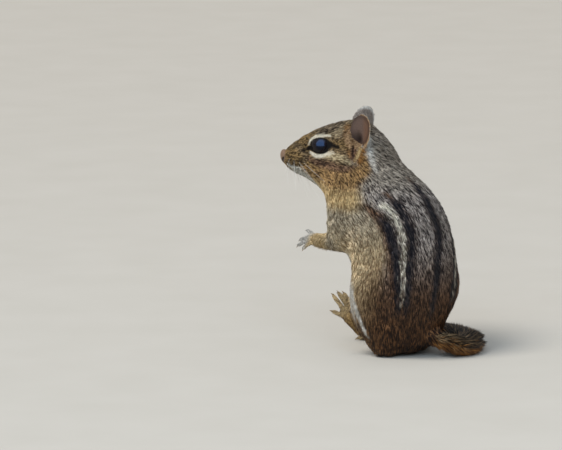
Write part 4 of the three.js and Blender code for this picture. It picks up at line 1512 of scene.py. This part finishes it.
def coat_piece(skin, tree, inputs, name):
    """One piece of the coat as a plain mesh."""
    grower = new_object("grower", skin.data)
    modifier = grower.modifiers.new("Tufts", "NODES")
    modifier.node_group = tree
    for item in tree.interface.items_tree:
        if item.in_out == "INPUT" and item.name in inputs:
            modifier[item.identifier] = inputs[item.name]
    mesh = evaluated_mesh(grower)
    bpy.data.objects.remove(grower)
    for spare in SPARE:
        if spare in mesh.attributes:
            mesh.attributes.remove(mesh.attributes[spare])
    place = column(mesh.vertices, "co", 3)
    place[:, 2] = np.maximum(place[:, 2], FLOOR_GAP * MM)
    mesh.vertices.foreach_set("co", place.ravel())
    triangles = sum(len(p.vertices) - 2 for p in mesh.polygons)
    print(f"{name}: {triangles} triangles")
    if not 0 < triangles < PIECE_LIMIT:
        raise ValueError(f"{name} has {triangles} triangles; it has to have some, and under {PIECE_LIMIT}")
    mesh.name = name
    return new_object(name, mesh)


# Round solids swept along a line


def swept(path, radii, sides=6):
    """Vertices and faces of a closed round solid along a path, and how far along it each vertex is."""
    path, radii = np.array(path, float), np.array(radii, float)
    tangents = unit(np.gradient(path, axis=0))
    steep = abs(tangents[0][2]) >= 0.9
    across = unit(np.cross(tangents, (1.0, 0.0, 0.0) if steep else (0.0, 0.0, 1.0)))
    over = np.cross(across, tangents)
    turns = np.arange(sides) * 2 * math.pi / sides
    rings = path[:, None] + radii[:, None, None] * (
        across[:, None] * np.cos(turns)[None, :, None] + over[:, None] * np.sin(turns)[None, :, None]
    )
    places = rings.reshape(-1, 3)
    faces = []
    for row in range(len(path) - 1):
        for k in range(sides):
            a, b = row * sides + k, row * sides + (k + 1) % sides
            faces.append((a, b, b + sides, a + sides))
    faces.append(tuple(range(sides))[::-1])
    faces.append(tuple(range((len(path) - 1) * sides, len(path) * sides)))
    return places, faces, np.repeat(np.linspace(0, 1, len(path)), sides)


def joined_solids(name, solids):
    """One closed mesh of several swept solids."""
    places, faces, along, start = [], [], [], 0
    for part, part_faces, part_along in solids:
        places.append(part)
        faces += [tuple(start + i for i in face) for face in part_faces]
        along.append(part_along)
        start += len(part)
    mesh = bpy.data.meshes.new(name)
    mesh.from_pydata((np.concatenate(places) * MM).tolist(), [], faces)
    put(mesh, "along", "FLOAT", np.concatenate(along))
    work = bmesh.new()
    work.from_mesh(mesh)
    bmesh.ops.remove_doubles(work, verts=work.verts, dist=1e-7)
    bmesh.ops.recalc_face_normals(work, faces=work.faces)
    work.to_mesh(mesh)
    work.free()
    mesh.shade_smooth()
    return new_object(name, mesh)


# Feet, as in the solids

# Length and width of the foot, and length of a toe
HIND_SIZE, FORE_SIZE = (25.5, 8.4, 9.5), (6.5, 6.4, 6.0)
# Toes: across, start and length as shares of the foot's width, length and toe, splay and bend in radians
HIND_TOES = [
    (-0.36, 0.9, 0.71, -0.48, 0.1), (-0.16, 0.98, 1.06, 0.13, 0.1), (0.15, 1.0, 0.97, 0.22, 0.1),
    (0.4, 0.95, 0.95, 0.22, 0.1), (0.34, 0.6, 0.46, 0.3, 1.0),
]
BURIED = 0.9  # bend from which a toe's tip is lost in the coat
FLAT_TOES = [(*row[:4], 0.14) for row in HIND_TOES[:4]] + [(0.34, 0.6, 0.8, 0.3, 0.14)]
FORE_TOES = [
    (-0.5, 0.5, 0.6, -0.8, 0.3), (-0.28, 0.85, 0.97, -0.36, 0.26), (0.12, 0.94, 1.05, -0.16, 0.2),
    (0.44, 0.78, 1.3, 0.42, 0.05),
]
# Size, toes, heel, way that the foot points, way that its back faces, and side of the body
FEET = {
    "hind_foot_left": (HIND_SIZE, HIND_TOES, (15.7, 2.0, 1.6), (0.221, -0.607, 0.763), (0.35, 0.6, 0.65), 1),
    "hind_foot_right": (HIND_SIZE, FLAT_TOES, (-13.5, -1.0, 2.0), (-0.12, -1, 0), (0, 0, 1), -1),
    "forepaw_left": (FORE_SIZE, FORE_TOES, (14.2, -35.8, 50), (-0.05, -1, 0), (0.6, 0.1, 0.9), 1),
    "forepaw_right": (FORE_SIZE, FORE_TOES, (-14.2, -35.8, 50), (0.05, -1, 0), (-0.6, 0.1, 0.9), -1),
}
CLAW_LENGTHS = {"forepaw": 1.7, "hind_foot": 1.8}
CLAW_ROOT = 0.7  # how far inside the toe's tip a claw starts
CLAW_HALF, CLAW_POINT, CLAW_TAPER = 0.34, 0.02, 0.7  # half width at the root, more at the point, and its fall
CLAW_CURVE, CLAW_STEEPER = 0.38, 1.4  # how far a claw curves, and how much more than its toe it points down


def toe_tips(size, toes, heel, way, back, side):
    """The tip of each toe, with the way its claw points and the way its nail side faces."""
    long, wide, toe = size
    y = unit(np.array(way, float))
    z = unit(np.array(back, float) - y * float(np.array(back, float) @ y))
    x = np.cross(y, z) * side
    for across, start, share, splay, bend in toes:
        reach = share * toe
        drop = math.tan(bend) * reach
        ahead = reach * np.array([math.sin(splay), math.cos(splay)])
        tip = np.array(heel, float) + x * (across * wide + ahead[0]) + y * (start * long + ahead[1])
        tip -= z * drop
        point = unit(x * ahead[0] + y * ahead[1] - z * drop * CLAW_STEEPER)
        yield tip, point, z


def claw(tip, point, nail, length):
    """A curved claw out of a toe's tip, above the floor."""
    steps = np.linspace(0, 1, 7)
    path = np.array(
        [tip - point * CLAW_ROOT + point * length * t - nail * CLAW_CURVE * length * t * t for t in steps]
    )
    radii = CLAW_HALF * (1 - steps) ** CLAW_TAPER + CLAW_POINT
    path[:, 2] = np.maximum(path[:, 2], radii + FLOOR_GAP)
    return swept(path, radii, 7)


# Whiskers

WHISKERS = 4  # in each row
# The first whisker's value and the step to each next one behind it: its root, its length, its way forwards
ROOT_AHEAD, ROOT_OUT, ROOT_UP = (14.0, -1.5), (3.4, 0.5), (0.0, -0.25)
WHISKER_LONG, WHISKER_AHEAD = (10, 2.6), (0.25, -0.3)
WHISKER_DOWN = (0.45, 0.3)  # likewise the way downwards, from row to row
# Least and greatest of what is random: more length, the way outwards, and the sag
WHISKER_LONGER, WHISKER_OUT, WHISKER_SAG = (-1, 1), (0.6, 0.9), (0.1, 0.35)
SWEPT_BACK, BENT = 0.25, 0.4  # the bend backwards, and the strength of the whole bend
WHISKER_HALF, WHISKER_TIP, WHISKER_TAPER = 0.085, 0.014, 0.8  # half width, the least of it, and its fall


def stepped(value, count):
    """A first value after a number of its steps."""
    return value[0] + value[1] * count


def whisker(side, row, number, chance):
    """One whisker, by its row from the top and its number from the nose backwards."""
    up = WHISKER_ROWS[row] + stepped(ROOT_UP, number)
    root = from_head(stepped(ROOT_AHEAD, number), side * stepped(ROOT_OUT, number), up)
    long = stepped(WHISKER_LONG, number) + chance.uniform(*WHISKER_LONGER)
    out = HEAD_OUT * side * chance.uniform(*WHISKER_OUT)
    way = unit(out + HEAD_FORWARD * stepped(WHISKER_AHEAD, number) - HEAD_UP * stepped(WHISKER_DOWN, row))
    bend = -HEAD_FORWARD * SWEPT_BACK - HEAD_UP * chance.uniform(*WHISKER_SAG)
    steps = np.linspace(0, 1, 9)
    path = [root + way * long * t + bend * long * BENT * t * t for t in steps]
    return swept(path, WHISKER_HALF * (1 - steps) ** WHISKER_TAPER + WHISKER_TIP, 5)


# Operators, one for each piece or group of like pieces


class CHIPMUNK_OT_skin(bpy.types.Operator):
    """Joins the flesh into one skin and models its lids, ears, mouth and whisker pads"""

    bl_idname = "chipmunk.skin"
    bl_label = "Skin"

    def execute(self, context):
        scene = context.scene
        mesh, kinds = build_skin(scene.chipmunk_skin, scene.chipmunk_eyes)
        skin = new_object("skin", mesh)
        unwrap(skin)
        store_coat(mesh, kinds, scene.chipmunk_eyes, scene.chipmunk_colours)
        mesh.shade_smooth()
        mesh.materials.clear()
        mesh.materials.append(furred_hide())
        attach(skin, "root")
        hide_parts(*FLESH)
        return {"FINISHED"}


class CHIPMUNK_OT_coat(bpy.types.Operator):
    """Sets the tufts of the coat on the skin, one piece for each part of the body"""

    bl_idname = "chipmunk.coat"
    bl_label = "Coat"

    def execute(self, context):
        coat = context.scene.chipmunk_coat
        skin = bpy.data.objects["skin"]
        tuft, tree, hair = new_object("tuft", tuft_mesh()), coat_tree(), guard_hair()
        for number, part in enumerate(COAT_PIECES):
            inputs = {
                "Tuft": tuft, "Piece": number, "Density": coat.density / MM**2, "Spread": coat.spread,
                "Locks": coat.locks / MM**2, "Pull": coat.pull, "Patch": PATCH, "Seed": coat.seed + number,
                "Material": hair,
            }
            piece = coat_piece(skin, tree, inputs, f"coat_{part}")
            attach(piece, "root")
            PIECE_SLOTS.get(part, "coat")
        bpy.data.objects.remove(tuft)
        return {"FINISHED"}


CORNEA, CORNEA_FROM = 0.035, 0.72  # how far it stands out of the ball, and how far ahead it begins, as shares
IRIS_END = 60  # degrees off the gaze at which the iris ends


class CHIPMUNK_OT_eyes(bpy.types.Operator):
    """Makes the two glass eyes"""

    bl_idname = "chipmunk.eyes"
    bl_label = "Eyes"

    def execute(self, context):
        glass = eye_glass()
        for name, side in (("left", 1), ("right", -1)):
            mesh, way = fine_ball(f"eyeball_{name}")
            ahead = way @ gaze(side)[0]
            swell = 1 + CORNEA * ramp(CORNEA_FROM, 1.0, ahead)
            move_vertices(mesh, EYE_MIDDLE[side] + way * (EYE_RADIUS * swell)[:, None])
            put(mesh, "iris", "FLOAT", np.arccos(np.clip(ahead, -1, 1)) / math.radians(IRIS_END))
            mesh.shade_smooth()
            mesh.materials.append(glass)
            eyeball = new_object(f"eyeball_{name}", mesh)
            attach(eyeball, "root")
            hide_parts(f"eye_{name}")
            bpy.data.collections["mirrors"].objects.link(eyeball)
        return {"FINISHED"}


NOSE_HALF = (2.2, 2.4, 3.5)  # half sides of the nose pad: ahead, out and up
NOSE_BACK, NOSE_RAISE = -1.1, -0.1  # how its middle lies from the solid's, forwards and up
NOSE_LEAN = math.radians(14)  # of the pad's top, forwards
# Nostrils and groove, as shares of the half sides. Along a nostril: ahead, up, half width
NOSTRIL = [(0.78, -0.6, 0.12), (0.66, -0.4, 0.17), (0.5, -0.12, 0.17), (0.3, 0.02, 0.1)]
NOSTRIL_DEPTH, GROOVE_DEPTH = 0.22, 0.1
# How strongly painted shade darkens the nostrils and the groove
NOSTRIL_SHADE, GROOVE_SHADE = 1.3, 0.5


class CHIPMUNK_OT_nose(bpy.types.Operator):
    """Makes the bare nose with its nostrils"""

    bl_idname = "chipmunk.nose"
    bl_label = "Nose"

    def execute(self, context):
        mesh, way = fine_ball("nose_pad")
        ahead, out, up = way.T
        slit = stroke(ahead, up, NOSTRIL, 0.5) * ramp(0.12, 0.3, np.abs(out))
        groove = ramp(0.16, 0.0, np.abs(out)) * ramp(0.0, 0.5, ahead) * ramp(0.3, -0.2, up)
        size = np.array(NOSE_HALF) * (1 - NOSTRIL_DEPTH * slit - GROOVE_DEPTH * groove)[:, None]
        lean_up = HEAD_UP * math.cos(NOSE_LEAN) + HEAD_FORWARD * math.sin(NOSE_LEAN)
        axes = np.stack([np.cross(HEAD_OUT, lean_up), HEAD_OUT, lean_up])
        place = NOSE_MIDDLE + HEAD_FORWARD * NOSE_BACK + HEAD_UP * NOSE_RAISE + (way * size) @ axes
        move_vertices(mesh, place)
        # Painted shade in the nostrils and the groove, for the material
        put(mesh, "nostril", "FLOAT", np.clip(slit * NOSTRIL_SHADE + groove * GROOVE_SHADE, 0, 1))
        mesh.shade_smooth()
        mesh.materials.append(nose_leather())
        nose = new_object("nose_pad", mesh)
        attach(nose, "root")
        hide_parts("nose")
        return {"FINISHED"}


class CHIPMUNK_OT_claws(bpy.types.Operator):
    """Makes the claws of each foot"""

    bl_idname = "chipmunk.claws"
    bl_label = "Claws"

    def execute(self, context):
        horn = claw_horn()
        for name, facts in FEET.items():
            length = CLAW_LENGTHS[kind_of(name)]
            tips = [tip for tip, toe in zip(toe_tips(*facts), facts[1]) if toe[4] < BURIED]
            solids = [claw(*tip, length) for tip in tips]
            claws = joined_solids(f"claws_{name}", solids)
            claws.data.materials.append(horn)
            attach(claws, "root")
        return {"FINISHED"}


class CHIPMUNK_OT_whiskers(bpy.types.Operator):
    """Makes the whiskers of both sides"""

    bl_idname = "chipmunk.whiskers"
    bl_label = "Whiskers"

    def execute(self, context):
        chance = np.random.default_rng(5)
        solids = [
            whisker(side, row, number, chance)
            for side in (1, -1)
            for row in range(len(WHISKER_ROWS))
            for number in range(WHISKERS)
        ]
        whiskers = joined_solids("whiskers", solids)
        whiskers.data.materials.append(whisker_hair())
        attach(whiskers, "root")
        return {"FINISHED"}


# The point at the picture's middle, to the right of and above the origin as the camera sees it
AIM_RIGHT, AIM_UP = -53.8, 58.4
PICTURE_WIDTH = 562  # pixels
SENSOR = 36.0
FLOOR_RADIUS = 60  # metres
# Lamps: kind, size in metres or as an angle, colour, and the way to each: right, up and back
LAMPS = {
    "key": (
        "SUN", {"angle": math.radians(24)},
        (1.0, 0.955, 0.9), (-0.62, 0.9, 0.5),
    ),
    "window": (
        "AREA", {"shape": "RECTANGLE", "size": 3.2, "size_y": 2.0},
        (0.66, 0.83, 1.0), (-0.12, 0.42, 0.9),
    ),
    "sky": (
        "AREA", {"shape": "ELLIPSE", "size": 12.0, "size_y": 8.5},
        (0.2, 0.43, 1.0), (0.05, 0.42, 0.9),
    ),
}
LAMPS_AWAY = 3.0  # metres from the point at the picture's middle


class CHIPMUNK_OT_stage(bpy.types.Operator):
    """Sets the floor, the light and the camera"""

    bl_idname = "chipmunk.stage"
    bl_label = "Stage"

    def execute(self, context):
        stage, scene = context.scene.chipmunk_stage, context.scene
        turn, tilt = stage.azimuth, stage.elevation
        right = Vector((math.cos(turn), math.sin(turn), 0))
        back = Vector((math.sin(turn) * math.cos(tilt), -math.cos(turn) * math.cos(tilt), math.sin(tilt)))
        up = back.cross(right)
        aim = (right * AIM_RIGHT + up * AIM_UP) * MM
        lens = bpy.data.cameras.new("camera")
        lens.sensor_width = SENSOR
        lens.lens = SENSOR * stage.distance / (PICTURE_WIDTH * stage.pixel)
        lens.clip_start, lens.clip_end = 0.05, 200
        camera = bpy.data.objects.new("camera", lens)
        camera.matrix_world = Matrix.Translation(aim + back * stage.distance) @ Matrix(
            [(right[i], up[i], back[i]) for i in range(3)]
        ).to_4x4()
        scene.collection.objects.link(camera)
        scene.camera = camera

        disc = bmesh.new()
        bmesh.ops.create_circle(disc, cap_ends=True, segments=96, radius=FLOOR_RADIUS)
        mesh = bpy.data.meshes.new("floor")
        disc.to_mesh(mesh)
        disc.free()
        mesh.materials.append(floor_plaster())
        floor = new_object("floor", mesh)

        mirrors = bpy.data.collections.new("mirrors")
        for name, (kind, facts, colour, ways) in LAMPS.items():
            lamp = bpy.data.lights.new(name, kind)
            for fact, value in facts.items():
                setattr(lamp, fact, value)
            lamp.energy, lamp.color = getattr(stage, name), colour
            way = right * ways[0] + up * ways[1] + back * ways[2]
            turned = way.to_track_quat("Z", "Y").to_matrix().to_4x4()
            stand = bpy.data.objects.new(name, lamp)
            stand.matrix_world = Matrix.Translation(aim + way.normalized() * LAMPS_AWAY) @ turned
            # The eyes mirror the sky, which lights nothing else, and no surface mirrors the other lamps
            stand.visible_glossy = name == "sky"
            if name == "sky":
                stand.light_linking.receiver_collection = mirrors
            scene.collection.objects.link(stand)

        world = bpy.data.worlds.new("studio")
        world.use_nodes = True
        background = world.node_tree.nodes["Background"]
        background.inputs["Color"].default_value = (*linear("e9ebee"), 1)
        background.inputs["Strength"].default_value = stage.fill
        scene.world = world
        scene.view_settings.view_transform = "Standard"
        return {"FINISHED"}


OPERATORS = (
    CHIPMUNK_OT_stage, CHIPMUNK_OT_skin, CHIPMUNK_OT_coat, CHIPMUNK_OT_eyes, CHIPMUNK_OT_nose,
    CHIPMUNK_OT_claws, CHIPMUNK_OT_whiskers,
)
GROUPS = {
    "chipmunk_colours": ChipmunkColours, "chipmunk_skin": ChipmunkSkin, "chipmunk_coat": ChipmunkCoat,
    "chipmunk_eyes": ChipmunkEyes, "chipmunk_stage": ChipmunkStage,
}


class CHIPMUNK_PT_sidebar(bpy.types.Panel):
    """The chipmunk's settings and pieces"""

    bl_idname = "CHIPMUNK_PT_sidebar"
    bl_label = "Chipmunk"
    bl_space_type = "VIEW_3D"
    bl_region_type = "UI"
    bl_category = "Chipmunk"

    def draw(self, context):
        for operator in OPERATORS:
            self.layout.operator(operator.bl_idname)
        for name, group in GROUPS.items():
            box = self.layout.box()
            box.label(text=group.__doc__)
            for setting in group.__annotations__:
                box.prop(getattr(context.scene, name), setting)


def register():
    """Registers the settings, the operators and the panel."""
    for name, group in GROUPS.items():
        bpy.utils.register_class(group)
        setattr(bpy.types.Scene, name, PointerProperty(type=group))
    for operator in OPERATORS:
        bpy.utils.register_class(operator)
    bpy.utils.register_class(CHIPMUNK_PT_sidebar)


def unregister():
    """Takes the panel, the operators and the settings away again."""
    bpy.utils.unregister_class(CHIPMUNK_PT_sidebar)
    for operator in reversed(OPERATORS):
        bpy.utils.unregister_class(operator)
    for name, group in GROUPS.items():
        delattr(bpy.types.Scene, name)
        bpy.utils.unregister_class(group)


def main():
    """Makes every piece."""
    register()
    bpy.ops.chipmunk.stage()
    bpy.ops.chipmunk.skin()
    bpy.ops.chipmunk.coat()
    bpy.ops.chipmunk.eyes()
    bpy.ops.chipmunk.nose()
    bpy.ops.chipmunk.claws()
    bpy.ops.chipmunk.whiskers()


if __name__ == "__main__":
    main()
